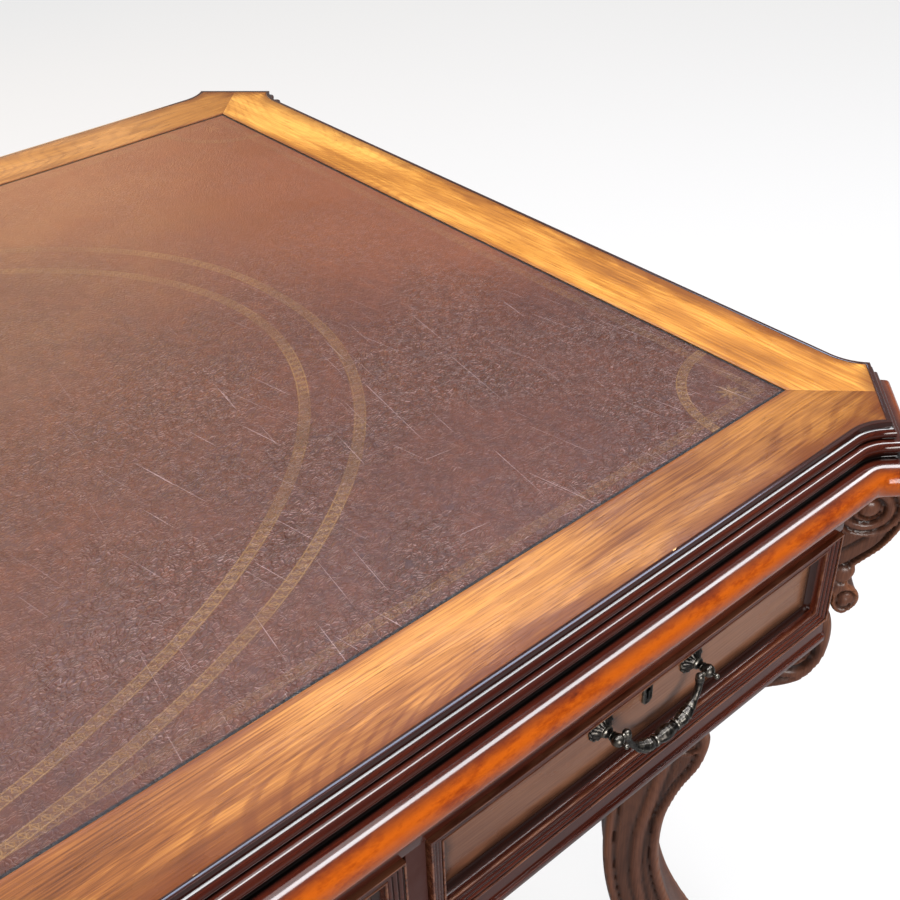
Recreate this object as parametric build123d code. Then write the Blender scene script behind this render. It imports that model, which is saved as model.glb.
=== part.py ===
from build123d import *
import os
from math import asin, cos, degrees, radians, sin, sqrt

# Leather-topped writing desk: three frieze drawers, canted corners, diagonal scroll legs.
# Millimetres. Origin on the floor under the centre of the top, +Z up, drawers open towards -Y.
# In the sections, "out" is the distance outside the flat edge of the top and "down" the
# distance below its surface.

# ---- driving dimensions ----
HEIGHT = 775.0
LEATHER_LENGTH = 1444.0
LEATHER_DEPTH = 730.0
BORDER = 60.0
VENEER = 4.0
LEATHER_RECESS = 0.4
CORE_BOTTOM = 28.0
MOULDING_BOTTOM = 52.5
MOULDING_INSIDE = -40.0
FRIEZE_OUT = 15.0
FRIEZE_BOTTOM = 180.0
FRIEZE_WALL = 20.0
RAIL_DEPTH = 40.0
DRAWER_TOP = 74.0
DRAWER_BOTTOM = 157.0
DRAWER_GAP = 1.7
FRAME_OUT = 18.0
PANEL_OUT = 6.0
DRAWER_END = 700.3
SIDE_DRAWER_WIDTH = 382.6
PARTITION = 14.0
FRONT_BOARD = 18.0
BOX_WALL = 12.0
BOX_DEPTH = 433.0
BOX_HEIGHT = 72.0
BOX_INSET = 12.0
BOX_BOTTOM = 5.0
GROOVE = 4.0
RUNNER = 10.0
RUNNER_TREAD = 30.0
SLIDE_CLEARANCE = 0.3
LEG_THICKNESS = 52.0
BRACKET_THICKNESS = 36.0
GLIDE_HEIGHT = 3.0
PULL_SPAN = 86.5
PULL_DOWN = 103.0
PULL_OUT = 21.0
WIDE_DRAWER_PULLS = 180.0
PULL_STEM = 3.0
PULL_THREAD = 2.2
ESCUTCHEON_DOWN = 103.5
POST_INNER = 300.0
SCREW_PLACES = (-600, -200, 200, 600)
BEAD_HEIGHT = 5.0
BEAD_PROUD = 2.5

# ---- derived places ----
HALF_LEATHER_X = LEATHER_LENGTH / 2
HALF_LEATHER_Y = LEATHER_DEPTH / 2
EDGE_X = HALF_LEATHER_X + BORDER
EDGE_Y = HALF_LEATHER_Y + BORDER
FACE_X = EDGE_X + FRIEZE_OUT
FACE_Y = EDGE_Y + FRIEZE_OUT
OPENING_TOP = HEIGHT - DRAWER_TOP + 1.5
OPENING_BOTTOM = HEIGHT - DRAWER_BOTTOM - 1.5
FRIEZE_TOP_Z = HEIGHT - MOULDING_BOTTOM
FRIEZE_LOW_Z = HEIGHT - FRIEZE_BOTTOM
OPENING_END = DRAWER_END + DRAWER_GAP
OPENING_INNER = DRAWER_END - SIDE_DRAWER_WIDTH - DRAWER_GAP
WIDE_OPENING = OPENING_INNER - PARTITION
PANEL_Y = -(EDGE_Y + PANEL_OUT)
BOARD_BACK_Y = PANEL_Y + FRONT_BOARD

# Plan outline of the flat top at one corner, measured from the leather's corner:
# the run swells out in a short flare, then meets the cant in a mitre.
FLARE_RUN = 27.0
FLARE_SWELL = 9.5
FLARE_START = -7.5
FLARE_RADIUS = FLARE_RUN**2 / (2 * FLARE_SWELL) + FLARE_SWELL / 2
FLARE_ANGLE = asin(FLARE_RUN / FLARE_RADIUS)

PARTS = {}


def box(x0, x1, y0, y1, z0, z1):
    """A block between two opposite corners."""
    middle = ((x0 + x1) / 2, (y0 + y1) / 2, (z0 + z1) / 2)
    return Pos(*middle) * Box(abs(x1 - x0), abs(y1 - y0), abs(z1 - z0))


def prism(points, z0, z1):
    """A plan polygon raised from z0 to z1."""
    outline = make_face(Polyline(*[(x, y) for x, y in points], close=True))
    return Pos(0, 0, z0) * extrude(outline, z1 - z0)


def joined(solids):
    """Several touching or overlapping shapes as one."""
    whole = solids[0]
    for solid in solids[1:]:
        whole = whole + solid
    return whole


def four_ways(solid):
    """The shape at all four corners, from its front right copy."""
    back = mirror(solid, about=Plane.XZ)
    return {
        "front_right": solid,
        "front_left": mirror(solid, about=Plane.YZ),
        "back_right": back,
        "back_left": mirror(back, about=Plane.YZ),
    }


def keep(name, shape):
    """Record one sub-part under the name of its file."""
    PARTS[name] = shape


# ---- the flat top ----
def corner_points():
    """Flare start, middle and end on the front run, front right corner, in the desk's frame."""
    centre_x = HALF_LEATHER_X + FLARE_START
    centre_y = -EDGE_Y - FLARE_RADIUS
    points = []
    for share in (0, 0.5, 1):
        turn = FLARE_ANGLE * share
        points.append((centre_x + FLARE_RADIUS * sin(turn), centre_y + FLARE_RADIUS * cos(turn)))
    return points


def across_diagonal(point):
    """A front-run point carried to the side run by the corner's mirror line."""
    x, y = point
    return (HALF_LEATHER_X - (y + HALF_LEATHER_Y), -HALF_LEATHER_Y - (x - HALF_LEATHER_X))


def top_plate(down_from, down_to):
    """The whole plan outline of the flat top as a plate."""
    start, middle, end = corner_points()
    side_end, side_middle, side_start = (across_diagonal(p) for p in (end, middle, start))
    outline = [
        Line((0, 0), (0, -EDGE_Y)),
        Line((0, -EDGE_Y), start),
        ThreePointArc(start, middle, end),
        Line(end, side_end),
        ThreePointArc(side_end, side_middle, side_start),
        Line(side_start, (EDGE_X, 0)),
        Line((EDGE_X, 0), (0, 0)),
    ]
    quarter = Pos(0, 0, HEIGHT - down_to) * extrude(make_face(outline), down_to - down_from)
    return joined(list(four_ways(quarter).values()))


def build_top():
    leather = box(
        -HALF_LEATHER_X, HALF_LEATHER_X, -HALF_LEATHER_Y, HALF_LEATHER_Y,
        HEIGHT - VENEER, HEIGHT - LEATHER_RECESS,
    )
    keep("leather_panel", leather)
    keep("top_core", top_plate(VENEER, CORE_BOTTOM))
    well = box(
        -HALF_LEATHER_X, HALF_LEATHER_X, -HALF_LEATHER_Y, HALF_LEATHER_Y, HEIGHT - VENEER, HEIGHT
    )
    ring = top_plate(0, VENEER) - well
    far = 2 * BORDER
    x, y = HALF_LEATHER_X, HALF_LEATHER_Y
    front = [(-x, -y), (x, -y), (x + far, -y - far), (-x - far, -y - far)]
    right = [(x, -y), (x, y), (x + far, y + far), (x + far, -y - far)]
    sectors = {
        "border_front": front,
        "border_back": [(px, -py) for px, py in front],
        "border_right": right,
        "border_left": [(-px, py) for px, py in right],
    }
    for name, sector in sectors.items():
        keep(name, ring & prism(sector, HEIGHT - VENEER, HEIGHT))


# ---- the edge moulding ----
def section_plane(x, y, heading):
    """A plane across the moulding's path: local x is out, local y is down."""
    along = Vector(cos(heading), sin(heading), 0)
    out = Vector(sin(heading), -cos(heading), 0)
    return Plane(origin=(x, y, HEIGHT), x_dir=out, z_dir=along)


def moulding_section():
    """Fillet, two reeds, a groove and the big torus."""
    torus_out, torus_down, torus = 15.0, 38.5, 14.0
    lift = radians(20)
    torus_start = (torus_out - torus * sin(lift), torus_down - torus * cos(lift))
    return make_face(
        [
            Line((0, 0), (3.2, 0)),
            Line((3.2, 0), (3.2, 4.4)),
            ThreePointArc((3.2, 4.4), (7.2, 8.2), (5.0, 12.2)),
            Line((5.0, 12.2), (8.0, 12.2)),
            ThreePointArc((8.0, 12.2), (13.2, 16.6), (9.4, 21.2)),
            Line((9.4, 21.2), (9.4, 24.6)),
            Line((9.4, 24.6), torus_start),
            ThreePointArc(torus_start, (torus_out + torus, torus_down), (torus_out, MOULDING_BOTTOM)),
            Line((torus_out, MOULDING_BOTTOM), (MOULDING_INSIDE, MOULDING_BOTTOM)),
            Line((MOULDING_INSIDE, MOULDING_BOTTOM), (MOULDING_INSIDE, CORE_BOTTOM)),
            Line((MOULDING_INSIDE, CORE_BOTTOM), (0, CORE_BOTTOM)),
            Line((0, CORE_BOTTOM), (0, 0)),
        ]
    )


def moulding_run(x, y, heading, length):
    """A straight length of the moulding."""
    return extrude(section_plane(x, y, heading) * moulding_section(), length)


def corner_moulding():
    """Both flares and the cant of the front right corner, mitred and glued into one piece."""
    start, _, end = corner_points()
    other_end = across_diagonal(end)
    flare = revolve(
        section_plane(start[0], start[1], 0) * moulding_section(),
        axis=Axis((start[0], start[1] - FLARE_RADIUS, 0), (0, 0, -1)),
        revolution_arc=degrees(FLARE_ANGLE),
    )
    overlap = 80
    tail = moulding_run(end[0], end[1], -FLARE_ANGLE, overlap)
    cant_heading = radians(45)
    half_cant = sqrt((other_end[0] - end[0]) ** 2 + (other_end[1] - end[1]) ** 2) / 2
    middle = ((end[0] + other_end[0]) / 2, (end[1] + other_end[1]) / 2)
    reach = half_cant + overlap
    cant = moulding_run(
        middle[0] - reach * cos(cant_heading), middle[1] - reach * sin(cant_heading),
        cant_heading, reach,
    )
    mitre_heading = (cant_heading - FLARE_ANGLE) / 2
    mitre = Plane(origin=(end[0], end[1], 0), z_dir=(cos(mitre_heading), sin(mitre_heading), 0))
    near = split(flare + tail, bisect_by=mitre, keep=Keep.BOTTOM)
    half = near + split(cant, bisect_by=mitre, keep=Keep.TOP)
    diagonal = Plane(origin=(HALF_LEATHER_X, -HALF_LEATHER_Y, 0), z_dir=(1, 1, 0))
    return half + mirror(half, about=diagonal)


def build_moulding(screws):
    start = corner_points()[0]
    front = moulding_run(-start[0], -EDGE_Y, 0, 2 * start[0]) - screws
    side_y = across_diagonal(start)[1]
    right = moulding_run(EDGE_X, side_y, radians(90), -2 * side_y)
    keep("edge_moulding_front", front)
    keep("edge_moulding_back", mirror(front, about=Plane.XZ))
    keep("edge_moulding_right", right)
    keep("edge_moulding_left", mirror(right, about=Plane.YZ))
    keep("edge_moulding_corners", Compound(children=[*four_ways(corner_moulding()).values()]))


def top_screws():
    """Screws up through the frieze rails into the underside of the top."""
    shank, head, head_height, length, below = 2.5, 5.0, 3.0, 38.0, 20.0
    solids = []
    for x in SCREW_PLACES:
        for side in (-1, 1):
            y = side * (FACE_Y - FRIEZE_WALL / 2)
            low = FRIEZE_TOP_Z - below
            solids.append(Pos(x, y, low + length / 2) * Cylinder(shank, length))
            solids[-1] += Pos(x, y, low + head_height / 2) * Cylinder(head, head_height)
    return solids


# ---- the frieze ----
def frame_bars(length, height):
    """Four mitred bars of reeded frame moulding; local z is out, the middle is at 0, 0."""
    width, depth = 17.4, FRAME_OUT - PANEL_OUT
    reed_low, lip_low, lip_in, lip_out = depth - 4.2, depth - 3.4, 11.0, 12.2
    half_l, half_h = length / 2, height / 2
    section = make_face(
        [
            Line((0, 0), (0, depth)),
            Line((0, depth), (1.4, depth)),
            Line((1.4, depth), (1.4, depth - 0.9)),
            Line((1.4, depth - 0.9), (lip_in, reed_low)),
            Line((lip_in, reed_low), (lip_in, lip_low)),
            Line((lip_in, lip_low), (lip_out, lip_low)),
            ThreePointArc((lip_out, lip_low), (13.2, 3.2), (width, 0)),
            Line((width, 0), (0, 0)),
        ]
    )
    low_plane = Plane(origin=(-half_l, -half_h, 0), x_dir=(0, 1, 0), z_dir=(1, 0, 0))
    low = extrude(low_plane * section, length)
    side_plane = Plane(origin=(-half_l, half_h, 0), x_dir=(1, 0, 0), z_dir=(0, -1, 0))
    side = extrude(side_plane * section, height)
    for corner_x, turn in ((-half_l, 1), (half_l, -1)):
        cut = Plane(origin=(corner_x, -half_h, 0), z_dir=(turn, -1, 0))
        low = split(low, bisect_by=cut, keep=Keep.TOP)
    for corner_y, turn in ((-half_h, 1), (half_h, -1)):
        cut = Plane(origin=(-half_l, corner_y, 0), z_dir=(-1, turn, 0))
        side = split(side, bisect_by=cut, keep=Keep.TOP)
    return [low, mirror(low, about=Plane.XZ), side, mirror(side, about=Plane.YZ)]


def placed_frame(centre, x_dir, outward, length, height):
    plane = Plane(origin=centre, x_dir=x_dir, z_dir=outward)
    return [plane * bar for bar in frame_bars(length, height)]


def frieze_plan(out):
    """Corners of the front right quarter of the frieze outline at a given distance out."""
    cant = OPENING_END + FACE_Y + (out - FRIEZE_OUT) * sqrt(2)
    x, y = EDGE_X + out, EDGE_Y + out
    return (cant - y, -y), (x, x - cant)


def base_bead():
    """Small bead round the bottom of the frieze: its front, right and front right cant lengths."""
    inner_a, inner_b = frieze_plan(FRIEZE_OUT)
    outer_a, outer_b = frieze_plan(FRIEZE_OUT + BEAD_PROUD)
    low, high = FRIEZE_LOW_Z, FRIEZE_LOW_Z + BEAD_HEIGHT
    mirrored_inner, mirrored_outer = (-inner_a[0], inner_a[1]), (-outer_a[0], outer_a[1])
    front = prism([mirrored_inner, inner_a, outer_a, mirrored_outer], low, high)
    side = prism(
        [inner_b, (inner_b[0], -inner_b[1]), (outer_b[0], -outer_b[1]), outer_b], low, high
    )
    cant = prism([inner_a, inner_b, outer_b, outer_a], low, high)
    return front, side, cant


def build_frieze(screws):
    front_bead, side_bead, cant_bead = base_bead()
    inner_y = FACE_Y - RAIL_DEPTH
    wall_y = FACE_Y - FRIEZE_WALL
    top_rail = box(-OPENING_END, OPENING_END, -FACE_Y, -inner_y, OPENING_TOP, FRIEZE_TOP_Z)
    keep("front_top_rail", top_rail - screws)
    low_rail = box(-OPENING_END, OPENING_END, -FACE_Y, -inner_y, FRIEZE_LOW_Z, OPENING_BOTTOM)
    keep("front_bottom_rail", low_rail + front_bead)

    pocket = FRIEZE_OUT - PANEL_OUT
    frame_height = DRAWER_BOTTOM - DRAWER_TOP
    frame_z = HEIGHT - (DRAWER_BOTTOM + DRAWER_TOP) / 2
    low, high = frame_z - frame_height / 2, frame_z + frame_height / 2
    back = box(-OPENING_END, OPENING_END, wall_y, FACE_Y, FRIEZE_LOW_Z, FRIEZE_TOP_Z)
    back = back + mirror(front_bead, about=Plane.XZ) - screws
    frames = []
    side_centre = DRAWER_END - SIDE_DRAWER_WIDTH / 2
    wide = 2 * (WIDE_OPENING - DRAWER_GAP)
    blind_panels = ((-side_centre, SIDE_DRAWER_WIDTH), (0, wide), (side_centre, SIDE_DRAWER_WIDTH))
    for centre, length in blind_panels:
        back -= box(centre - length / 2, centre + length / 2, FACE_Y - pocket, FACE_Y, low, high)
        frames += placed_frame(
            (centre, EDGE_Y + PANEL_OUT, frame_z), (-1, 0, 0), (0, 1, 0), length, frame_height
        )
    keep("back_panel", back)

    side_length = 2 * POST_INNER - 20
    side = box(FACE_X - FRIEZE_WALL, FACE_X, -POST_INNER, POST_INNER, FRIEZE_LOW_Z, FRIEZE_TOP_Z)
    side -= box(FACE_X - pocket, FACE_X, -side_length / 2, side_length / 2, low, high)
    bead_cut = box(0, 2 * FACE_X, -POST_INNER, POST_INNER, 0, HEIGHT)
    side += side_bead & bead_cut
    keep("right_panel", side)
    keep("left_panel", mirror(side, about=Plane.YZ))
    right_frame = placed_frame(
        (EDGE_X + PANEL_OUT, 0, frame_z), (0, 1, 0), (1, 0, 0), side_length, frame_height
    )
    frames += right_frame + [mirror(bar, about=Plane.YZ) for bar in right_frame]
    keep("frieze_panel_frames", Compound(children=frames))

    corner_a, corner_b = frieze_plan(FRIEZE_OUT)
    post_plan = [corner_a, corner_b, (FACE_X, -POST_INNER), (OPENING_END, -POST_INNER)]
    post = prism(post_plan, FRIEZE_LOW_Z, FRIEZE_TOP_Z) + cant_bead
    post += side_bead & box(0, 2 * FACE_X, -2 * FACE_Y, -POST_INNER, 0, HEIGHT)
    post -= leg_tenon()
    keep("corner_posts", Compound(children=[*four_ways(post).values()]))

    divider = box(WIDE_OPENING, OPENING_INNER, -FACE_Y, wall_y, OPENING_BOTTOM, FRIEZE_TOP_Z)
    tongue_z = OPENING_BOTTOM - RUNNER
    divider += box(WIDE_OPENING, OPENING_INNER, -inner_y, wall_y, tongue_z, FRIEZE_TOP_Z)
    divider -= top_rail
    keep("drawer_partition_right", divider)
    keep("drawer_partition_left", mirror(divider, about=Plane.YZ))


def drawer_spans():
    """Name, low x, high x of each drawer front."""
    wide = WIDE_OPENING - DRAWER_GAP
    inner = DRAWER_END - SIDE_DRAWER_WIDTH
    return (
        ("left_drawer", -DRAWER_END, -inner),
        ("centre_drawer", -wide, wide),
        ("right_drawer", inner, DRAWER_END),
    )


def build_runners():
    """L-shaped runners under and beside every drawer side, and kickers above them."""
    y0, y1 = -(FACE_Y - RAIL_DEPTH), FACE_Y - FRIEZE_WALL
    guide_top, kicker_gap = 24.0, 1.0
    runners, kickers = [], []
    for _, x0, x1 in drawer_spans():
        ends = ((x0 - DRAWER_GAP, x0 + BOX_INSET, 1), (x1 + DRAWER_GAP, x1 - BOX_INSET, -1))
        for wall, face, inward in ends:
            tread = wall + inward * RUNNER_TREAD
            guide = face - inward * SLIDE_CLEARANCE
            z = OPENING_BOTTOM
            runner = box(*sorted((wall, tread)), y0, y1, z - RUNNER, z)
            runner += box(*sorted((wall, guide)), y0, y1, z, z + guide_top)
            runners.append(runner)
            kicker_z = z + SLIDE_CLEARANCE + BOX_HEIGHT + kicker_gap
            kickers.append(box(*sorted((wall, tread)), y0, y1, kicker_z, kicker_z + RUNNER))
    keep("drawer_runners", Compound(children=runners))
    keep("drawer_kickers", Compound(children=kickers))


# ---- legs and scroll brackets, in the vertical plane through each corner's diagonal ----
def diagonal_plane():
    """Local x runs out from the leather's corner along the diagonal, local y is down."""
    return Plane(
        origin=(HALF_LEATHER_X, -HALF_LEATHER_Y, HEIGHT), x_dir=(1, -1, 0), z_dir=(1, 1, 0)
    )


def diagonal_solid(face, thickness):
    return extrude(diagonal_plane() * face, thickness / 2, both=True)


def leg_tenon():
    """Round tenon on top of a leg, which goes up into its corner post."""
    radius, length, sunk = 14.0, 45.0, 5.0
    place = diagonal_plane() * Pos(0, FRIEZE_BOTTOM + sunk - length / 2, 0) * Rot(90, 0, 0)
    return place * Cylinder(radius, length)


def leg_solid():
    """A scrolled knee under the frieze, a long sweep in and a scrolled toe turned out."""
    foot = HEIGHT - GLIDE_HEIGHT
    outer = [
        (38.9, FRIEZE_BOTTOM), (54, 192), (60.5, 216), (58, 246), (44, 270), (24, 279),
        (2, 285), (-16, 303), (-28, 325), (-22, 350), (-27, 382), (-43, 418), (-54, 462),
        (-54, 518), (-41, 578), (-16, 635), (14, 684), (44, 712), (56, 738), (46, 762), (28, foot),
    ]
    inner = [
        (-8, foot), (-22, 752), (-52, 700), (-82, 636), (-101, 566), (-108, 494), (-104, 424),
        (-91, 356), (-76, 296), (-60, 240), (-50, FRIEZE_BOTTOM),
    ]
    outline = [
        Spline(*outer),
        Line(outer[-1], inner[0]),
        Spline(*inner),
        Line(inner[-1], outer[0]),
    ]
    return diagonal_solid(make_face(outline), LEG_THICKNESS)


def bracket_solid():
    """Console scroll on the cant: a big volute above, a roll and a small volute below."""
    cant_s = (frieze_plan(FRIEZE_OUT)[0][0] - HALF_LEATHER_X + FACE_Y - HALF_LEATHER_Y) / sqrt(2)
    low = FRIEZE_BOTTOM
    outline = [
        Line((cant_s, MOULDING_BOTTOM), (80, MOULDING_BOTTOM)),
        Spline((80, MOULDING_BOTTOM), (100, 72), (103, 98), (90, 130), (68, 154), (58, 167)),
        Line((58, 167), (66, 186)),
        Line((66, 186), (60, low)),
        Line((60, low), (cant_s, low)),
        Line((cant_s, low), (cant_s, MOULDING_BOTTOM)),
    ]
    face = make_face(outline)
    face += Pos(62, 160) * Circle(9)
    face += Pos(67, 187) * Ellipse(11.3, 15)
    return diagonal_solid(face, BRACKET_THICKNESS)


def build_legs():
    leg = leg_solid() - bracket_solid() + leg_tenon()
    for place, solid in four_ways(leg).items():
        keep(f"leg_{place}", solid)
    bead = base_bead()[2]
    for place, solid in four_ways(bracket_solid() - bead).items():
        keep(f"scroll_bracket_{place}", solid)
    glide = diagonal_plane() * Pos(10, HEIGHT - GLIDE_HEIGHT / 2, 0) * Rot(90, 0, 0)
    glide = glide * Cylinder(12, GLIDE_HEIGHT)
    keep("foot_glides", Compound(children=[*four_ways(glide).values()]))


# ---- drawers ----
def pull_centres(name, x0, x1):
    """Places of a drawer's pulls along x, with the name of each bail."""
    if name == "centre_drawer":
        return [
            ("centre_drawer_bail_left", -WIDE_DRAWER_PULLS),
            ("centre_drawer_bail_right", WIDE_DRAWER_PULLS),
        ]
    return [(f"{name}_bail", (x0 + x1) / 2)]


def facing(x, down, out):
    """Local z points out of the drawer front, local y up."""
    origin = (x, -(EDGE_Y + out), HEIGHT - down)
    return Plane(origin=origin, x_dir=(1, 0, 0), z_dir=(0, -1, 0))


def pull_post(x):
    """Turned post with its ball, finial and the thread that goes through the drawer front."""
    ball, tip, pin_hole = 4.6, 1.9, 1.7
    seat = PULL_OUT - PANEL_OUT
    shaft = FRONT_BOARD + 7
    plane = facing(x, PULL_DOWN, PANEL_OUT)
    shapes = [
        Pos(0, 0, seat / 2) * Cylinder(PULL_STEM, seat),
        Pos(0, 0, seat) * Sphere(ball),
        Pos(0, 0, seat + ball + 0.6) * Cylinder(1.2, 2.6),
        Pos(0, 0, seat + ball + 2.6) * Sphere(tip),
        Pos(0, 0, -shaft / 2) * Cylinder(PULL_THREAD, shaft),
    ]
    hole = Pos(0, 0, seat) * Rot(0, 90, 0) * Cylinder(pin_hole, 3 * ball)
    return plane * (joined(shapes) - hole)


def pull_rosette(x):
    """Domed backplate round a post."""
    radius, rim, dome, collar = 11.0, 1.6, 4.2, 5.0
    plate = Pos(0, 0, rim / 2) * Cylinder(radius, rim)
    standing = (Align.CENTER, Align.CENTER, Align.MIN)
    plate += Pos(0, 0, rim) * Cone(radius - 2, collar, dome, align=standing)
    plate -= Cylinder(PULL_STEM, 4 * (rim + dome))
    return facing(x, PULL_DOWN, PANEL_OUT) * plate


def pull_nut(x):
    """Nut on the thread, inside the drawer."""
    radius, thickness = 5.0, 4.0
    nut = extrude(RegularPolygon(radius, 6), thickness) - Cylinder(PULL_THREAD, 4 * thickness)
    return facing(x, PULL_DOWN, PANEL_OUT - FRONT_BOARD - thickness) * nut


def bail(x):
    """Drop handle hung between the two posts on its own pins."""
    wire, pin, pin_length, drop = 2.6, 1.62, 8.6, 24
    knuckle, knuckle_length = 4.4, 12
    reach = PULL_SPAN / 2 - 8.2
    right = [(reach - 16, -drop), (reach - 4, -drop / 2), (reach, 0)]
    left = [(-px, py) for px, py in reversed(right)]
    path = FilletPolyline(*left, *right, radius=7)
    profile = Plane(origin=path @ 0, z_dir=path % 0) * Circle(wire)
    shape = sweep(profile, path=path)
    shape += Pos(0, -drop, 0) * Rot(0, 90, 0) * Cylinder(knuckle, knuckle_length)
    for side in (-1, 1):
        shape += Pos(side * reach, 0, 0) * Sphere(wire + 0.4)
        pin_x = side * (reach + pin_length / 2)
        shape += Pos(pin_x, 0, 0) * Rot(0, 90, 0) * Cylinder(pin, pin_length)
    return facing(x, PULL_DOWN, PULL_OUT) * shape


def escutcheon(x):
    """Oblong keyhole plate."""
    length, width, thickness, depth = 19.0, 9.0, 1.6, 10.0
    plate = extrude(SlotOverall(length, width, rotation=90), thickness)
    keyhole = Pos(0, 2.6, 0) * Cylinder(1.9, depth) + Pos(0, -1.6, 0) * Box(1.8, 8, depth)
    return facing(x, ESCUTCHEON_DOWN, PANEL_OUT) * (plate - keyhole)


def build_drawer(name, x0, x1):
    z_low = OPENING_BOTTOM + SLIDE_CLEARANCE
    z_high = z_low + BOX_HEIGHT
    left, right = x0 + BOX_INSET, x1 - BOX_INSET
    back_y = BOARD_BACK_Y + BOX_DEPTH
    floor_z = z_low + 8.0
    bottom = box(
        left + BOX_WALL - GROOVE, right - BOX_WALL + GROOVE, BOARD_BACK_Y - GROOVE,
        back_y - BOX_WALL + GROOVE, floor_z, floor_z + BOX_BOTTOM,
    )
    board = box(x0, x1, PANEL_Y, BOARD_BACK_Y, HEIGHT - DRAWER_BOTTOM, HEIGHT - DRAWER_TOP)
    centres = pull_centres(name, x0, x1)
    rosettes, posts = [], []
    for _, centre in centres:
        for side in (-1, 1):
            x = centre + side * PULL_SPAN / 2
            posts += [pull_post(x), pull_nut(x)]
            rosettes.append(pull_rosette(x))
            board -= facing(x, PULL_DOWN, PANEL_OUT) * Cylinder(PULL_THREAD, 3 * FRONT_BOARD)
    keep(f"{name}_front", board - bottom)
    frame = placed_frame(
        ((x0 + x1) / 2, PANEL_Y, HEIGHT - (DRAWER_TOP + DRAWER_BOTTOM) / 2),
        (1, 0, 0), (0, -1, 0), x1 - x0, DRAWER_BOTTOM - DRAWER_TOP,
    )
    keep(f"{name}_frame", Compound(children=frame))
    sides = [
        box(left, left + BOX_WALL, BOARD_BACK_Y, back_y, z_low, z_high) - bottom,
        box(right - BOX_WALL, right, BOARD_BACK_Y, back_y, z_low, z_high) - bottom,
    ]
    keep(f"{name}_sides", Compound(children=sides))
    back = box(left + BOX_WALL, right - BOX_WALL, back_y - BOX_WALL, back_y, z_low, z_high - 6)
    keep(f"{name}_back", back - bottom)
    keep(f"{name}_bottom", bottom)
    keep(f"{name}_pull_posts", Compound(children=posts))
    keep(f"{name}_pull_rosettes", Compound(children=rosettes))
    keep(f"{name}_escutcheon", escutcheon((x0 + x1) / 2))
    for bail_name, centre in centres:
        keep(bail_name, bail(centre))


def main():
    screws = top_screws()
    build_top()
    build_moulding(screws)
    build_frieze(screws)
    build_runners()
    build_legs()
    for name, x0, x1 in drawer_spans():
        build_drawer(name, x0, x1)
    keep("top_screws", Compound(children=screws))
    os.makedirs("parts", exist_ok=True)
    for name, shape in PARTS.items():
        export_step(shape, f"parts/{name}.step")
    print(len(PARTS), "nodes")


main()
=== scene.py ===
"""Writing desk with drawers: the visual model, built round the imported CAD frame.

Lengths are millimetres and are turned into metres as a mesh is written. The floor, the lights,
the camera and the scales inside the materials are in metres, apart from the leather's.
"""

import math

import bmesh
import bpy
import numpy as np
from mathutils import Matrix, Vector, geometry, kdtree


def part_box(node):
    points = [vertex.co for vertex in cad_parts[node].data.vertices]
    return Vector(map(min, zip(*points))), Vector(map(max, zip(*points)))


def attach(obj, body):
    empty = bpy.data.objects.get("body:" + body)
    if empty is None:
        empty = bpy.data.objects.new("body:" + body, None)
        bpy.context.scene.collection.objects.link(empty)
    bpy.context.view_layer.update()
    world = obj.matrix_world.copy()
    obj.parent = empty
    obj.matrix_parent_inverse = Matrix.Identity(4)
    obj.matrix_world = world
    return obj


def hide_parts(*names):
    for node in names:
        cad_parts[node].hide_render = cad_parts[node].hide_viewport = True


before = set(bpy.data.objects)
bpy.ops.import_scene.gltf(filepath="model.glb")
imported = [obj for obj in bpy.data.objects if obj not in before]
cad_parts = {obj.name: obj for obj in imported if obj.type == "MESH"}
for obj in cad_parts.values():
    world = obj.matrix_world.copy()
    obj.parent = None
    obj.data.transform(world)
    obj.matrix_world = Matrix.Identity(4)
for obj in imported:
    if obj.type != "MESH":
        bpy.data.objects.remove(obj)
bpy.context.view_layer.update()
MM = 0.001
MOULDING_TONGUE = 40.0  # how far the CAD moulding runs in under the boards, from its upper edge


def node_box(node):
    """Lowest and highest corner of a CAD node in millimetres."""
    low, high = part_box(node)
    return np.array(low) / MM, np.array(high) / MM


# ---- driving places, read from the frame ----
LEATHER_LOW, LEATHER_HIGH = node_box("leather_panel")
HALF_X, HALF_Y = LEATHER_HIGH[0], LEATHER_HIGH[1]
TOP = node_box("border_front")[1][2]
VENEER = TOP - node_box("border_front")[0][2]
EDGE_X = node_box("edge_moulding_right")[0][0] + MOULDING_TONGUE
EDGE_Y = -node_box("edge_moulding_front")[1][1] + MOULDING_TONGUE
PANEL_Y = -node_box("centre_drawer_front")[0][1]

# The corner's plan, as the CAD design has it, measured from the leather's corner.
FLARE_RUN, FLARE_SWELL, FLARE_START = 27.0, 9.5, -7.5
FLARE_RADIUS = FLARE_RUN**2 / (2 * FLARE_SWELL) + FLARE_SWELL / 2
FLARE_ANGLE = math.asin(FLARE_RUN / FLARE_RADIUS)
DRAWERS = ("left_drawer", "centre_drawer", "right_drawer")
SIDE_PANEL_LENGTH = 580.0  # of the frames on the two ends, as in the CAD design
CORNERS = {
    "front_right": (1, 1), "front_left": (-1, 1), "back_right": (1, -1), "back_left": (-1, -1),
}


# ---------------------------------------------------------------- mesh tools
def clamped(value):
    """The value kept between 0 and 1."""
    return max(0.0, min(1.0, value))


def bell(distance, width):
    """A smooth bump of height 1 that falls away on both sides of no distance."""
    return math.exp(-((distance / width) ** 2))


def dome(distance, radius):
    """Height of a round boss of height 1, by the distance from its middle."""
    return math.sqrt(max(0.0, 1 - (distance / radius) ** 2))


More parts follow.
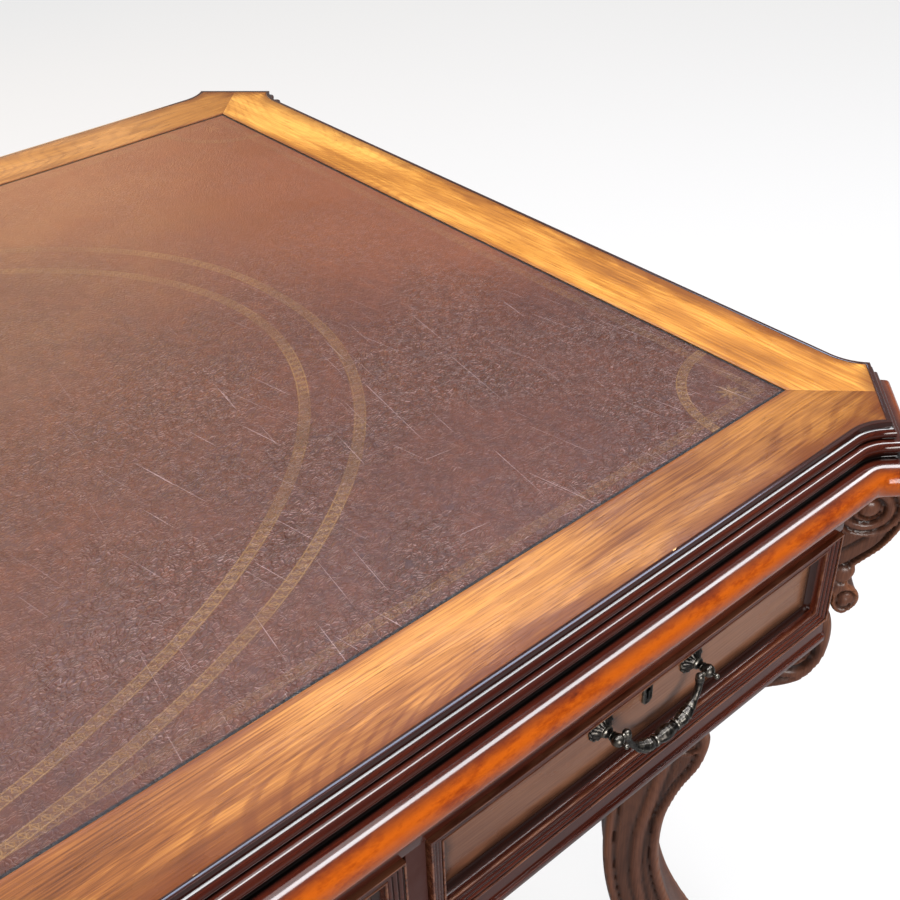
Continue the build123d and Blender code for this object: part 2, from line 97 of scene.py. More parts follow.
def closed_mesh(name, points, faces, values=None, sharp=38):
    """A mesh from millimetre points, with outward normals and the given point attributes."""
    mesh = bpy.data.meshes.new(name)
    mesh.from_pydata([tuple(p) for p in np.asarray(points, float) * MM], [], faces)
    for key, numbers in (values or {}).items():
        layer = mesh.attributes.new(key, "FLOAT", "POINT")
        layer.data.foreach_set("value", np.asarray(numbers, np.float32))
    shape = bmesh.new()
    shape.from_mesh(mesh)
    bmesh.ops.remove_doubles(shape, verts=shape.verts, dist=1e-6)
    bmesh.ops.recalc_face_normals(shape, faces=shape.faces)
    shape.to_mesh(mesh)
    shape.free()
    mesh.polygons.foreach_set("use_smooth", [True] * len(mesh.polygons))
    mesh.set_sharp_from_angle(angle=math.radians(sharp))
    return mesh


def add_piece(name, mesh, body, materials, replaced=()):
    """Puts a finished mesh in the scene as a piece of the desk."""
    piece = bpy.data.objects.new(name, mesh)
    bpy.context.scene.collection.objects.link(piece)
    mesh.materials.clear()
    for material in materials if isinstance(materials, (list, tuple)) else [materials]:
        mesh.materials.append(material)
    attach(piece, body)
    if replaced:
        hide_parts(*replaced)
    return piece


class Shell:
    """Collects several closed surfaces for one mesh."""

    def __init__(self):
        self.points, self.faces, self.values = [], [], {}

    def add(self, points, faces, **values):
        start = len(self.points)
        self.points.extend([tuple(p) for p in points])
        self.faces.extend([[start + i for i in face] for face in faces])
        for key, numbers in values.items():
            self.values.setdefault(key, []).extend(numbers)

    def mesh(self, name, sharp=38):
        return closed_mesh(name, self.points, self.faces, self.values, sharp)


def grid_faces(rows, columns, wrapped=False):
    """Quads of a grid of points stored row by row."""
    faces = []
    for i in range(rows - 1):
        for j in range(columns if wrapped else columns - 1):
            a, b = i * columns + j, i * columns + (j + 1) % columns
            faces.append((a, b, b + columns, a + columns))
    return faces


def capped_faces(rows, columns):
    """Faces of a run of closed rings, with a cap at both ends."""
    faces = grid_faces(rows, columns, wrapped=True)
    faces.append(tuple(range(columns)))
    faces.append(tuple((rows - 1) * columns + j for j in reversed(range(columns))))
    return faces


def slab(top_grid, thickness):
    """A closed sheet below a grid of points with shape (rows, columns, 3)."""
    rows, columns, _ = top_grid.shape
    upper = top_grid.reshape(-1, 3)
    lower = upper - np.array([0, 0, thickness])
    count = rows * columns
    faces = grid_faces(rows, columns)
    faces += [tuple(i + count for i in reversed(face)) for face in faces]
    rim = [j for j in range(columns)]
    rim += [i * columns + columns - 1 for i in range(1, rows)]
    rim += [(rows - 1) * columns + j for j in range(columns - 2, -1, -1)]
    rim += [i * columns for i in range(rows - 2, 0, -1)]
    for a, b in zip(rim, rim[1:] + rim[:1]):
        faces.append((b, a, a + count, b + count))
    return np.vstack([upper, lower]), faces


def arc_through(first, middle, last, steps=10):
    """Points on the circle through three points, from first to last."""
    (ax, ay), (bx, by), (cx, cy) = first, middle, last
    d = 2 * (ax * (by - cy) + bx * (cy - ay) + cx * (ay - by))
    a2, b2, c2 = ax * ax + ay * ay, bx * bx + by * by, cx * cx + cy * cy
    ux = (a2 * (by - cy) + b2 * (cy - ay) + c2 * (ay - by)) / d
    uy = (a2 * (cx - bx) + b2 * (ax - cx) + c2 * (bx - ax)) / d
    radius = math.hypot(ax - ux, ay - uy)
    turn = [math.atan2(y - uy, x - ux) for x, y in (first, middle, last)]
    full = 2 * math.pi
    sweep = (turn[2] - turn[0]) % full
    if (turn[1] - turn[0]) % full > sweep:
        sweep -= full
    angles = [turn[0] + sweep * i / steps for i in range(steps + 1)]
    return [(ux + radius * math.cos(t), uy + radius * math.sin(t)) for t in angles]


def softened(outline, radius=0.5, turn_over=24, steps=3):
    """A closed outline with each sharp corner rounded over by a small curve."""
    result = []
    count = len(outline)
    for i, point in enumerate(outline):
        p = Vector(point)
        before, after = Vector(outline[i - 1]) - p, Vector(outline[(i + 1) % count]) - p
        turn = math.degrees((-before).angle(after, 0.0))
        if turn < turn_over:
            result.append(tuple(p))
            continue
        reach = min(radius, before.length * 0.45, after.length * 0.45)
        start, end = p + before.normalized() * reach, p + after.normalized() * reach
        for k in range(steps + 1):
            t = k / steps
            result.append(tuple(start.lerp(p, t).lerp(p.lerp(end, t), t)))
    return result


def swept(section, stations, height=TOP):
    """A section of (out, down) points carried along stations of (x, y, out_x, out_y)."""
    points = []
    for x, y, out_x, out_y in stations:
        points += [(x + e * out_x, y + e * out_y, height - d) for e, d in section]
    return np.array(points), capped_faces(len(stations), len(section))


def turned(profile, sides):
    """A lathe shape about local z from (radius, z) points."""
    points = []
    for radius, z in profile:
        for j in range(sides):
            angle = 2 * math.pi * j / sides
            points.append((radius * math.cos(angle), radius * math.sin(angle), z))
    return np.array(points), capped_faces(len(profile), sides)


def refined(node, body, material, bevel):
    """The CAD node's own shape with eased arrises, as a new piece that stands for it."""
    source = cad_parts[node].data
    shape = bmesh.new()
    shape.from_mesh(source)
    bmesh.ops.remove_doubles(shape, verts=shape.verts, dist=1e-6)
    bmesh.ops.dissolve_limit(
        shape, angle_limit=math.radians(1.0), verts=shape.verts, edges=shape.edges
    )
    edges = [
        e for e in shape.edges
        if len(e.link_faces) == 2 and e.calc_face_angle(0.0) > math.radians(30)
    ]
    bmesh.ops.bevel(
        shape, geom=edges, offset=bevel * MM, segments=2, profile=0.6,
        affect="EDGES", clamp_overlap=True,
    )
    mesh = bpy.data.meshes.new(node + "_eased")
    shape.to_mesh(mesh)
    shape.free()
    mesh.polygons.foreach_set("use_smooth", [True] * len(mesh.polygons))
    mesh.set_sharp_from_angle(angle=math.radians(50))
    return add_piece(node + "_eased", mesh, body, material, [node])


def smooth_curve(points, spacing):
    """A Catmull-Rom curve through the points, sampled about every spacing millimetres."""
    points = [np.array(p, float) for p in points]
    padded = [2 * points[0] - points[1]] + points + [2 * points[-1] - points[-2]]
    result = []
    for p0, p1, p2, p3 in zip(padded, padded[1:], padded[2:], padded[3:]):
        count = max(1, round(float(np.linalg.norm(p2 - p1)) / spacing))
        for k in range(count):
            t = k / count
            result.append(0.5 * (
                2 * p1 + (p2 - p0) * t + (2 * p0 - 5 * p1 + 4 * p2 - p3) * t**2
                + (3 * p1 - p0 - 3 * p2 + p3) * t**3
            ))
    result.append(points[-1])
    return result


def evenly(outline, spacing):
    """A closed outline with long straight stretches divided to the given spacing."""
    result = []
    for start, end in zip(outline, outline[1:] + outline[:1]):
        start, end = np.array(start, float), np.array(end, float)
        count = max(1, round(float(np.linalg.norm(end - start)) / spacing))
        result += [tuple(start + (end - start) * k / count) for k in range(count)]
    return result


class Nearness:
    """Distance from any point of a plane to a set of sampled points."""

    def __init__(self, samples):
        self.tree = kdtree.KDTree(len(samples))
        for k, (x, y) in enumerate(samples):
            self.tree.insert((x, y, 0), k)
        self.tree.balance()

    def __call__(self, x, y):
        return self.tree.find((x, y, 0))[2]


def spiral(centre, inner, outer, turns, start=0.0, squash=1.0, hand=1):
    """Sample points of a spiral that opens from one radius to another."""
    count = int(turns * 70)
    samples = []
    for k in range(count + 1):
        share = k / count
        angle = start + hand * share * turns * 2 * math.pi
        radius = inner + (outer - inner) * share
        x, y = radius * math.cos(angle), radius * math.sin(angle) * squash
        samples.append((centre[0] + x, centre[1] + y))
    return samples


def carved_solid(outline, thickness, relief, spacing=2.0, ease=5.0, cove=2.0, bands=10):
    """A solid of constant thickness with eased edges, carved on both faces.

    relief(x, y, gap) says how far each face is cut or raised, with gap the distance to the edge.
    The narrow face between the two sides is hollowed across by the depth of the cove.
    """
    outline = evenly(outline, spacing)
    count = len(outline)
    gap_of = Nearness(evenly(outline, spacing / 3))
    flat = [Vector(p) for p in outline]
    low_x, low_y = np.min(outline, axis=0)
    high_x, high_y = np.max(outline, axis=0)
    for i, x in enumerate(np.arange(low_x, high_x, spacing)):
        for y in np.arange(low_y + (i % 2) * spacing / 2, high_y, spacing):
            if gap_of(x, y) > spacing * 0.55:
                flat.append(Vector((x, y)))
    placed, _, faces, origins, _, _ = geometry.delaunay_2d_cdt(
        flat, [], [list(range(count))], 1, 1e-5)
    rim = [None] * count
    for k, sources in enumerate(origins):
        for source in sources:
            if source < count:
                rim[source] = k
    half = thickness / 2
    # hollow and arris carry the shares of painted shade in the deeper cuts and the cove, and of a
    # painted highlight along the eased edges
    side, hollow, arris = [], [], []
    for x, y in placed:
        gap = gap_of(x, y)
        fall = ease - math.sqrt(max(ease**2 - max(ease - gap, 0.0) ** 2, 0.0))
        cut = relief(x, y, gap) * min(1.0, gap / 2.0)
        side.append(half - fall + cut)
        hollow.append(clamped(-cut / 2.6 - 0.25))
        arris.append(bell(gap - 1.0, 2.0))
    size = len(placed)
    points = [(x, y, z) for (x, y), z in zip(placed, side)]
    points += [(x, y, -z) for (x, y), z in zip(placed, side)]
    hollow, arris = hollow * 2, arris * 2
    shape = [list(face) for face in faces] + [[i + size for i in reversed(face)] for face in faces]
    normals = []
    for k in range(count):
        run = np.array(placed[rim[(k + 1) % count]]) - np.array(placed[rim[k - 1]])
        normals.append(np.array([run[1], -run[0]]) / (np.linalg.norm(run) + 1e-9))
    area = sum(p[0] * q[1] - q[0] * p[1] for p, q in zip(outline, outline[1:] + outline[:1]))
    inward = -1.0 if area > 0 else 1.0
    rows = [[rim[k] for k in range(count)]]
    for band in range(1, bands):
        across = 1 - 2 * band / bands
        depth = cove * (1 - abs(across) ** 3) if abs(across) < 0.9 else 0.0
        row = []
        for k in range(count):
            x, y = np.array(placed[rim[k]]) + normals[k] * inward * depth
            row.append(len(points))
            points.append((x, y, side[rim[k]] * across))
            hollow.append(0.25 * depth / max(cove, 0.1))
            arris.append(0.6 if depth < 0.3 * cove else 0.0)
        rows.append(row)
    rows.append([rim[k] + size for k in range(count)])
    for upper, lower in zip(rows, rows[1:]):
        for k in range(count):
            after = (k + 1) % count
            shape.append([upper[k], upper[after], lower[after], lower[k]])
    return np.array(points), shape, {"hollow": hollow, "arris": arris}


def lofted_tube(path, radii, sides=24, shape_of=None):
    """A closed tube round a path; shape_of(k, angle) scales the radius for flutes and leaves."""
    path = [np.array(p, float) for p in path]
    points = []
    across = None
    for k, here in enumerate(path):
        along = path[min(k + 1, len(path) - 1)] - path[max(k - 1, 0)]
        along = along / np.linalg.norm(along)
        if across is None:
            across = np.cross(along, [0, 0, 1.0])
            if np.linalg.norm(across) < 1e-3:
                across = np.cross(along, [0, 1.0, 0])
        across = across - along * (across @ along)
        across = across / np.linalg.norm(across)
        up = np.cross(along, across)
        for j in range(sides):
            angle = 2 * math.pi * j / sides
            radius = radii[k] * (shape_of(k, angle) if shape_of else 1.0)
            points.append(here + radius * (math.cos(angle) * across + math.sin(angle) * up))
    return np.array(points), capped_faces(len(path), sides)


# ---------------------------------------------------------------- materials
def linear(red, green, blue):
    """A colour given in sRGB from 0 to 255, as linear numbers."""
    values = []
    for v in (red, green, blue):
        v /= 255
        values.append(v / 12.92 if v <= 0.04045 else ((v + 0.055) / 1.055) ** 2.4)
    return (*values, 1.0)


def step(operation, swapped=False):
    """An operator of Value, which adds one maths node to the tree."""
    def make(self, *other):
        return self.nodes.math(operation, *((*other, self) if swapped else (self, *other)))
    return make


class Value:
    """A node's output, for use in plain arithmetic."""

    def __init__(self, nodes, socket):
        self.nodes, self.socket = nodes, socket

    __add__, __sub__, __rsub__ = step("ADD"), step("SUBTRACT"), step("SUBTRACT", swapped=True)
    __mul__, __truediv__ = step("MULTIPLY"), step("DIVIDE")
    __pow__, __abs__ = step("POWER"), step("ABSOLUTE")


class Nodes:
    """A node tree, with short calls for the nodes that this script uses."""

    def __init__(self, tree):
        self.tree = tree

    def put(self, value, socket):
        """Links an output to the socket, or sets the socket to a number or colour."""
        if isinstance(value, Value):
            self.tree.links.new(value.socket, socket)
        elif value is not None:
            socket.default_value = value

    def node(self, kind, *values, output=0, inputs=None, **settings):
        """A new node's output; values fill its inputs in order, and inputs fills them by key."""
        made = self.tree.nodes.new(kind)
        for key, value in settings.items():
            setattr(made, key, value)
        for key, value in {**dict(enumerate(values)), **(inputs or {})}.items():
            self.put(value, made.inputs[key])
        return Value(self, made.outputs[output])

    def math(self, operation, *values):
        return self.node("ShaderNodeMath", *values, operation=operation)

    def greatest(self, first, *others):
        """The greatest of several values, place by place."""
        for other in others:
            first = self.math("MAXIMUM", first, other)
        return first

    def vector(self, operation, *values):
        output = "Value" if operation in ("LENGTH", "DISTANCE", "DOT_PRODUCT") else "Vector"
        return self.node("ShaderNodeVectorMath", *values, output=output, operation=operation)

    def place(self, grain="x", scale=(1, 1, 1)):
        """Object coordinates in metres, with the grain turned to lie along local x."""
        source = self.node("ShaderNodeTexCoord", output="Object")
        turn = {"x": (0, 0, 0), "y": (0, 0, math.pi / 2), "z": (0, math.pi / 2, 0)}[grain]
        return self.scaled(self.node("ShaderNodeMapping", source, (0, 0, 0), turn), *scale)

    def scaled(self, vector, *scale):
        return self.vector("MULTIPLY", vector, scale)

    def axes(self, vector):
        split = self.node("ShaderNodeSeparateXYZ", vector).socket.node
        return [Value(self, output) for output in split.outputs]

    def joined(self, x, y, z=0.0):
        return self.node("ShaderNodeCombineXYZ", x, y, z)

    def noise(self, vector, scale, detail=3.0, roughness=0.5, distortion=0.0):
        return self.node("ShaderNodeTexNoise", output="Fac", inputs={
            "Vector": vector, "Scale": scale, "Detail": detail, "Roughness": roughness,
            "Distortion": distortion})

    def drawn_out(self, vector, scale, detail=3.0, roughness=0.5):
        """Noise with a scale of its own along each axis."""
        return self.noise(self.scaled(vector, *scale), 1.0, detail, roughness)

    def cells(self, vector, scale, feature="F1", output="Distance"):
        return self.node("ShaderNodeTexVoronoi", output=output, feature=feature,
                         inputs={"Vector": vector, "Scale": scale})

    def span(self, value, low, high, to_low=0.0, to_high=1.0, smooth=True):
        return self.node("ShaderNodeMapRange", value, low, high, to_low, to_high,
                         interpolation_type="SMOOTHSTEP" if smooth else "LINEAR")

    def fading(self, value, low, high, most=1.0):
        """A share that falls from the most at low to nothing at high."""
        return self.span(value, low, high, most, 0.0)

    def mix(self, share, first, second, blend="MIX"):
        return self.node("ShaderNodeMix", output=2, data_type="RGBA", blend_type=blend,
                         inputs={0: share, 6: first, 7: second})

    def layers(self, colour, *coats):
        """The colour under coats of (share, sRGB colour), laid one after another."""
        for share, tone in coats:
            colour = self.mix(share, colour, linear(*tone))
        return colour

    def ramp(self, value, *stops):
        """Colours by the value, from stops of (value, sRGB colour)."""
        made = self.node("ShaderNodeValToRGB", value)
        elements = made.socket.node.color_ramp.elements
        while len(elements) < len(stops):
            elements.new(0.5)
        for element, (at, colour) in zip(elements, stops):
            element.position, element.color = at, linear(*colour)
        return made

    def attribute(self, name):
        return self.node("ShaderNodeAttribute", output="Fac", attribute_name=name)

    def bump(self, height, distance, strength=1.0, normal=None):
        return self.node("ShaderNodeBump", inputs={
            "Height": height, "Distance": distance, "Strength": strength, "Normal": normal})


class Finish(Nodes):
    """A material, with the constants of its shader."""

    def __init__(self, name, **constants):
        self.material = bpy.data.materials.new(name)
        self.material.use_nodes = True
        super().__init__(self.material.node_tree)
        self.shader = self.tree.nodes["Principled BSDF"]
        for key, value in constants.items():
            self.shader.inputs[key.replace("_", " ")].default_value = value

    def done(self, colour, roughness, normal):
        """Joins the last outputs to the shader and gives the material."""
        for key, value in (("Base Color", colour), ("Roughness", roughness), ("Normal", normal)):
            self.put(value, self.shader.inputs[key])
        return self.material


def wood(name, grain, tones, gloss, figure, coat, shade=None, blotch=0.5, pores=1.0, sheen=0.5):
    """Polished wood: arches and streaks of figure, pores, uneven stain and a worn polish.

    shade(finish, colour, at) lays its own colours over the bare wood before the polish; for some
    looks these are painted shade and painted highlights.
    """
    finish = Finish(
        name, Coat_Weight=coat, Coat_Roughness=gloss * 0.45, IOR=1.5, Specular_IOR_Level=sheen)
    at = finish.place(grain)
    _, across, depth = finish.axes(at)
    warp = finish.drawn_out(at, (1.7, 8.0, 8.0), 1.0, 0.4)
    rings = across * 420.0 + depth * 300.0 + warp * 620.0
    arches = finish.span(finish.math("SINE", rings), 0.1, 1.0)
    streaks = finish.span(finish.drawn_out(at, (5.0, 120.0, 120.0), 3.0, 0.6), 0.3, 0.7)
    fibres = finish.span(finish.drawn_out(at, (16.0, 900.0, 900.0), 3.0, 0.6), 0.3, 0.7)
    cloud = finish.span(finish.drawn_out(at, (4.0, 11.0, 11.0), 4.0, 0.6), 0.3, 0.7)
    broken = arches * (streaks * 0.7 + 0.3)
    level = cloud * blotch + (0.64 - 0.5 * blotch)
    level = level + (streaks - 0.5) * (0.30 * figure) + (fibres - 0.5) * 0.30
    level = level - broken * (0.24 * figure)
    dark, middle, light = tones
    colour = finish.ramp(level, (0.0, dark), (0.5, middle), (1.0, light))
    dashes = finish.drawn_out(at, (55.0, 1600.0, 1600.0), 2.0, 0.5)
    dashes = finish.span(dashes, 0.58, 0.70)
    colour = finish.layers(colour, (dashes * (0.35 * pores), dark))
    if shade:
        colour = shade(finish, colour, at)
    smear = finish.drawn_out(at, (14.0, 40.0, 40.0))
    rough = finish.span(smear, 0.3, 0.75, gloss * 0.75, gloss * 1.4)
    relief = fibres * 0.35 - dashes * 0.5
    normal = finish.bump(relief, 0.0001, 0.3 * pores)
    return finish.done(colour, rough, normal)


HONEY = ((96, 52, 18), (152, 97, 36), (198, 142, 64))
HONEY_DARK = ((64, 32, 13), (116, 68, 28), (170, 114, 52))
MAHOGANY = ((30, 11, 8), (62, 23, 14), (94, 40, 22))
CARVED = ((42, 21, 15), (80, 46, 34), (114, 72, 53))
PANEL = ((76, 42, 29), (118, 76, 54), (146, 101, 75))
BEECH = ((150, 116, 80), (188, 152, 110), (206, 172, 130))
SAWN = ((120, 88, 58), (160, 124, 86), (184, 148, 106))
BLACK = (14, 7, 6)
BARE = (214, 170, 120)
LIPPING = 8.0  # depth of the dark strip on the front of each partition
FRAME_WIDTH = 17.3  # of the reeded moulding round each panel


def burnished(finish, colour, at):
    """Darker stain towards the outer edge, a dark hairline inside, and a few bare nicks."""
    edge, inner = finish.attribute("outer_gap"), finish.attribute("inner_gap")
    stained = finish.span(abs(finish.axes(at)[0]), 0.36, 0.60, 0.0, 0.75)
    colour = finish.mix(stained, colour, (0.55, 0.50, 0.46, 1), "MULTIPLY")
    reach = finish.drawn_out(at, (22.0, 60.0, 60.0)) * 44.0 - 10.0
    smoke = finish.fading(edge / finish.greatest(reach, 1.0), 0.0, 1.3, 0.7)
    hair = finish.fading(inner, 0.5, 5.0, 0.55)
    rim = finish.fading(edge, 0.2, 1.0)
    nicks = rim * finish.span(finish.drawn_out(at, (60.0, 110.0, 110.0), 3.0, 0.6), 0.69, 0.71)
    return finish.layers(
        colour, (smoke, (80, 36, 12)), (hair, (96, 50, 30)), (rim, (44, 18, 10)), (nicks, BARE))


def moulding_shade(finish, colour, at):
    """Black fillet, dark red reeds, an orange-brown torus and painted shade in the quirks, by the
    attributes of the section.
    """
    lower, dark, arris = (finish.attribute(key) for key in ("torus", "hollow", "arris"))
    spots = finish.drawn_out(at, (22.0, 60.0, 60.0), 6.0, 0.75)
    torus = finish.ramp(spots, (0.32, (84, 30, 6)), (0.42, (128, 50, 6)), (0.55, (164, 76, 10)),
                        (0.72, (146, 62, 8)))
    torus = finish.mix(0.15, torus, colour)
    reeds = finish.layers(colour, (0.66, (40, 12, 8)))
    colour = finish.mix(lower, reeds, torus)
    chips = arris * finish.span(finish.drawn_out(at, (60.0, 60.0, 60.0), 5.0, 0.75), 0.70, 0.73)
    # black: the fillet's own colour, and painted shade in the quirks
    return finish.layers(colour, (dark, BLACK), (chips, (140, 84, 52)))


def carved_shade(finish, colour, at):
    """Painted shade in the deeper cuts, and a painted highlight along the eased edges."""
    hollow, arris = finish.attribute("hollow"), finish.attribute("arris")
    # painted shade in the hollows, painted highlight on the edges
    return finish.layers(colour, (hollow * 0.88, (20, 10, 8)), (arris * 0.4, (168, 108, 74)))


def framed_shade(finish, colour, at):
    """Reeded frame: painted shade, in black, in the quirks and the cove; a painted highlight along
    the thin arrises.
    """
    hollow, arris = finish.attribute("hollow"), finish.attribute("arris")
    # painted highlight along the thin arrises, stronger in patches
    rub = arris * finish.span(finish.drawn_out(at, (30.0, 200.0, 200.0)), 0.35, 0.6, 0.1, 0.5)
    return finish.layers(colour, (hollow * 0.95, BLACK), (rub, (150, 98, 70)))


# ---- tooled leather ----
RING_CENTRE_Y = -8.0
RINGS = ((504.0, 328.0, 2.0), (538.0, 350.0, 2.16))  # half length, half width and power
RING_BAND, EDGE_BAND, EDGE_BAND_IN = 9.0, 8.0, 14.0
QUARTER_RADIUS = 74.0
STAR_AT, STAR_SIZE, STAR_RAYS = (31.0, 26.0), 9.5, 8
STAMP_LENGTH = 7.0
MOST_USED = (500.0, -300.0, 0.0)  # the place with most crackle
SPECK_SCALE = 0.018


def arc_length_terms(half_x, half_y, power):
    """Mean length per radian round a ring and its first sine term, by the unit ring's angle."""
    t = np.linspace(0, math.pi / 2, 400)
    reach = (np.cos(t) ** power + np.sin(t) ** power) ** (-1 / power)
    step = np.hypot(np.diff(half_x * reach * np.cos(t)), np.diff(half_y * reach * np.sin(t)))
    length = np.concatenate([[0], np.cumsum(step)])
    mean = length[-1] / t[-1]
    wobble = 4 / math.pi * float(np.sum((length - mean * t) * np.sin(2 * t))) * t[1]
    return mean, wobble


def tooling(finish, gap, run, half_width):
    """Two fine lines with a row of small stamped blocks between them."""
    size = abs(gap / half_width)
    inside = finish.fading(size, 0.92, 1.04)
    lines = finish.fading(abs(size - 0.82), 0.06, 0.14)
    beat = abs(finish.math("FRACT", run / STAMP_LENGTH) - 0.5)
    diamond = beat * 1.6 + size * 0.8
    block = finish.fading(abs(diamond - 0.52), 0.05, 0.16)
    tick = finish.fading(beat, 0.05, 0.09)
    return inside, finish.greatest(lines, block, tick) * inside


def gold_tooling(finish, x, y):
    """Rings, edge band, quarter rounds and stars, as (ground of bands, gold, gap to the edge)."""
    corner_x, corner_y = HALF_X - abs(x), HALF_Y - abs(y)
    ring_y = y - RING_CENTRE_Y
    bands = []
    for half_x, half_y, power in RINGS:
        px, py = abs(x) / half_x, abs(ring_y) / half_y
        steep_x, steep_y = px ** (power - 1), py ** (power - 1)
        level = steep_x * px + steep_y * py
        slope = finish.vector("LENGTH", finish.joined(steep_x / half_x, steep_y / half_y))
        gap = (level - 1.0) / (slope * power)
        angle = finish.math("ARCTAN2", ring_y / half_y, x / half_x)
        mean, wobble = arc_length_terms(half_x, half_y, power)
        run = angle * mean + finish.math("SINE", angle * 2.0) * wobble
        bands.append(tooling(finish, gap, run, RING_BAND / 2))
    nearest = finish.math("MINIMUM", corner_x, corner_y)
    beside_end = finish.math("GREATER_THAN", corner_y, corner_x)
    run = beside_end * y + (1.0 - beside_end) * x
    ground, gold = tooling(finish, nearest - EDGE_BAND_IN, run, EDGE_BAND / 2)
    bands.append((ground * 0.45, gold * 0.5))
    from_corner = finish.vector("LENGTH", finish.joined(corner_x, corner_y))
    turn = finish.math("ARCTAN2", corner_y, corner_x) * QUARTER_RADIUS
    bands.append(tooling(finish, from_corner - QUARTER_RADIUS, turn, EDGE_BAND / 2))
    star_x, star_y = corner_x - STAR_AT[0], corner_y - STAR_AT[1]
    from_star = finish.vector("LENGTH", finish.joined(star_x, star_y))
    rays = finish.math("COSINE", finish.math("ARCTAN2", star_y, star_x) * STAR_RAYS)
    reach = rays * (STAR_SIZE * 0.32) + STAR_SIZE * 0.68
    star = finish.fading(from_star - reach, -2.6, 2.4, 0.8)
    grounds, golds = zip(*bands)
    return finish.greatest(*grounds), finish.greatest(*golds, star), nearest


def scratches(finish, at):
    """Long thin marks in three directions."""
    lines = []
    for turn, cut, length in ((1.40, 0.735, 0.012), (1.74, 0.74, 0.009), (0.15, 0.755, 0.014)):
        laid = finish.node("ShaderNodeMapping", at, (0, 0, 0), (0, 0, turn))
        line = finish.drawn_out(laid, (length, 0.9, 1.0), 2.0, 0.35)
        lines.append(finish.span(line, cut, cut + 0.02))
    return finish.greatest(*lines)


def cracks(finish, place, scale, width):
    """Lines of the given width between cells."""
    cells = finish.cells(finish.scaled(place, *scale, 0.0), 1.0, "DISTANCE_TO_EDGE")
    return finish.fading(cells, 0.0, width)


def leather_material():
    """Red-brown hide: mottled polish, crackle, fine scratches, dulled gold, painted light and
    glints.
    """
    finish = Finish(
        "leather", Coat_Weight=0.05, Coat_Roughness=0.22, IOR=1.46, Specular_IOR_Level=0.30)
    at = finish.place("x", (1 / MM, 1 / MM, 1 / MM))
    x, y, _ = finish.axes(at)
    ground, gold, nearest = gold_tooling(finish, x, y)

    # colour of the hide
    broad = finish.noise(at, 0.0034, 3.0, 0.5)
    mottle = finish.noise(at, 0.016, 4.0, 0.6, 0.4)
    fine = finish.drawn_out(at, (0.12, 0.07, 0.1), 4.0, 0.65)
    level = mottle * 0.16 + broad * 0.40 + fine * 0.40
    colour = finish.ramp(finish.span(level, 0.36, 0.70, smooth=False), (0.0, (59, 27, 14)),
                         (0.45, (75, 36, 18)), (0.75, (87, 43, 20)), (1.0, (105, 56, 27)))
    # painted light: the hide lighter and warmer towards the back and the ends
    painted_far_light = finish.span(abs(x) * 0.8 + y + broad * 160.0, 420.0, 820.0, 0.0, 0.4)
    # crackle: two sizes of cell, stretched a little, stronger in patches and where it is used
    bend = finish.noise(at, 0.05, 3.0)
    swayed = finish.vector("ADD", at, finish.scaled(finish.joined(bend, bend), 14, 9, 0))
    big_crack = cracks(finish, swayed, (0.085, 0.14), 0.07)
    small_crack = cracks(finish, swayed, (0.26, 0.38), 0.22)
    patch = finish.span(finish.noise(at, 0.009, 3.0), 0.36, 0.60, 0.45, 1.0)
    fainter = finish.span(finish.noise(at, 0.025, 2.0), 0.38, 0.62, 0.1, 0.9)
    used = finish.vector("DISTANCE", finish.scaled(at, 1.0, 1.0, 0.0), MOST_USED)
    handled = finish.span(used, 130.0, 460.0, 1.0, 0.32)
    weight = patch * handled
    crack = finish.greatest(big_crack * fainter, small_crack * 0.75) * weight
    # plain dark hide where the crackle is faint
    plain = finish.span(handled, 0.32, 1.0, 0.30, 0.0, smooth=False)
    # painted glint: a pale edge beside each crack, where the crackle catches the light
    lit = finish.vector("ADD", swayed, (0.45, 0.55, 0.0))
    painted_glint = cracks(finish, lit, (0.26, 0.38), 0.14) * (1.0 - small_crack)
    painted_glint = painted_glint * finish.span(finish.noise(at, 0.16, 3.0, 0.7), 0.42, 0.60) * weight
    grit = finish.noise(at, 0.7, 3.0, 0.7)
    marks = scratches(finish, at) * finish.fading(used, 150.0, 420.0)
    speck_size = finish.axes(finish.cells(at, SPECK_SCALE, output="Color"))[0]
    speck_size = finish.span(speck_size, 0.55, 1.0, 0.0, 0.018)
    specks = finish.math("LESS_THAN", finish.cells(at, SPECK_SCALE), speck_size)
    # gold, rubbed away in places
    wear = finish.noise(at, 0.012, 4.0, 0.6)
    wear = finish.span(wear, 0.32, 0.62) * finish.span(grit, 0.35, 0.6, 0.45, 1.0)
    # dark line where the hide meets the wood
    line = finish.fading(nearest, 1.8, 3.4)
    colour = finish.layers(
        colour, (painted_far_light, (166, 94, 52)), (crack * 0.6, (28, 14, 11)), (plain, (34, 16, 10)),
        (painted_glint * 0.5, (180, 152, 148)), (finish.span(grit, 0.5, 0.8, 0.0, 0.18), (128, 84, 68)),
        (marks * 0.42, (172, 146, 144)), (specks * 0.75, (226, 206, 198)),
        (ground * 0.24, (104, 74, 46)), (gold * wear * 0.38, (142, 108, 62)), (line, (14, 8, 8)))

    relief = grit * 0.35 - crack * 0.9 - gold * 0.25 - marks * 0.5
    normal = finish.bump(relief, 0.0008, 0.8)
    normal = finish.bump(finish.noise(at, 0.03, 2.0), 0.0016, 0.12, normal)
    return finish.done(colour, finish.span(mottle, 0.3, 0.7, 0.28, 0.42), normal)


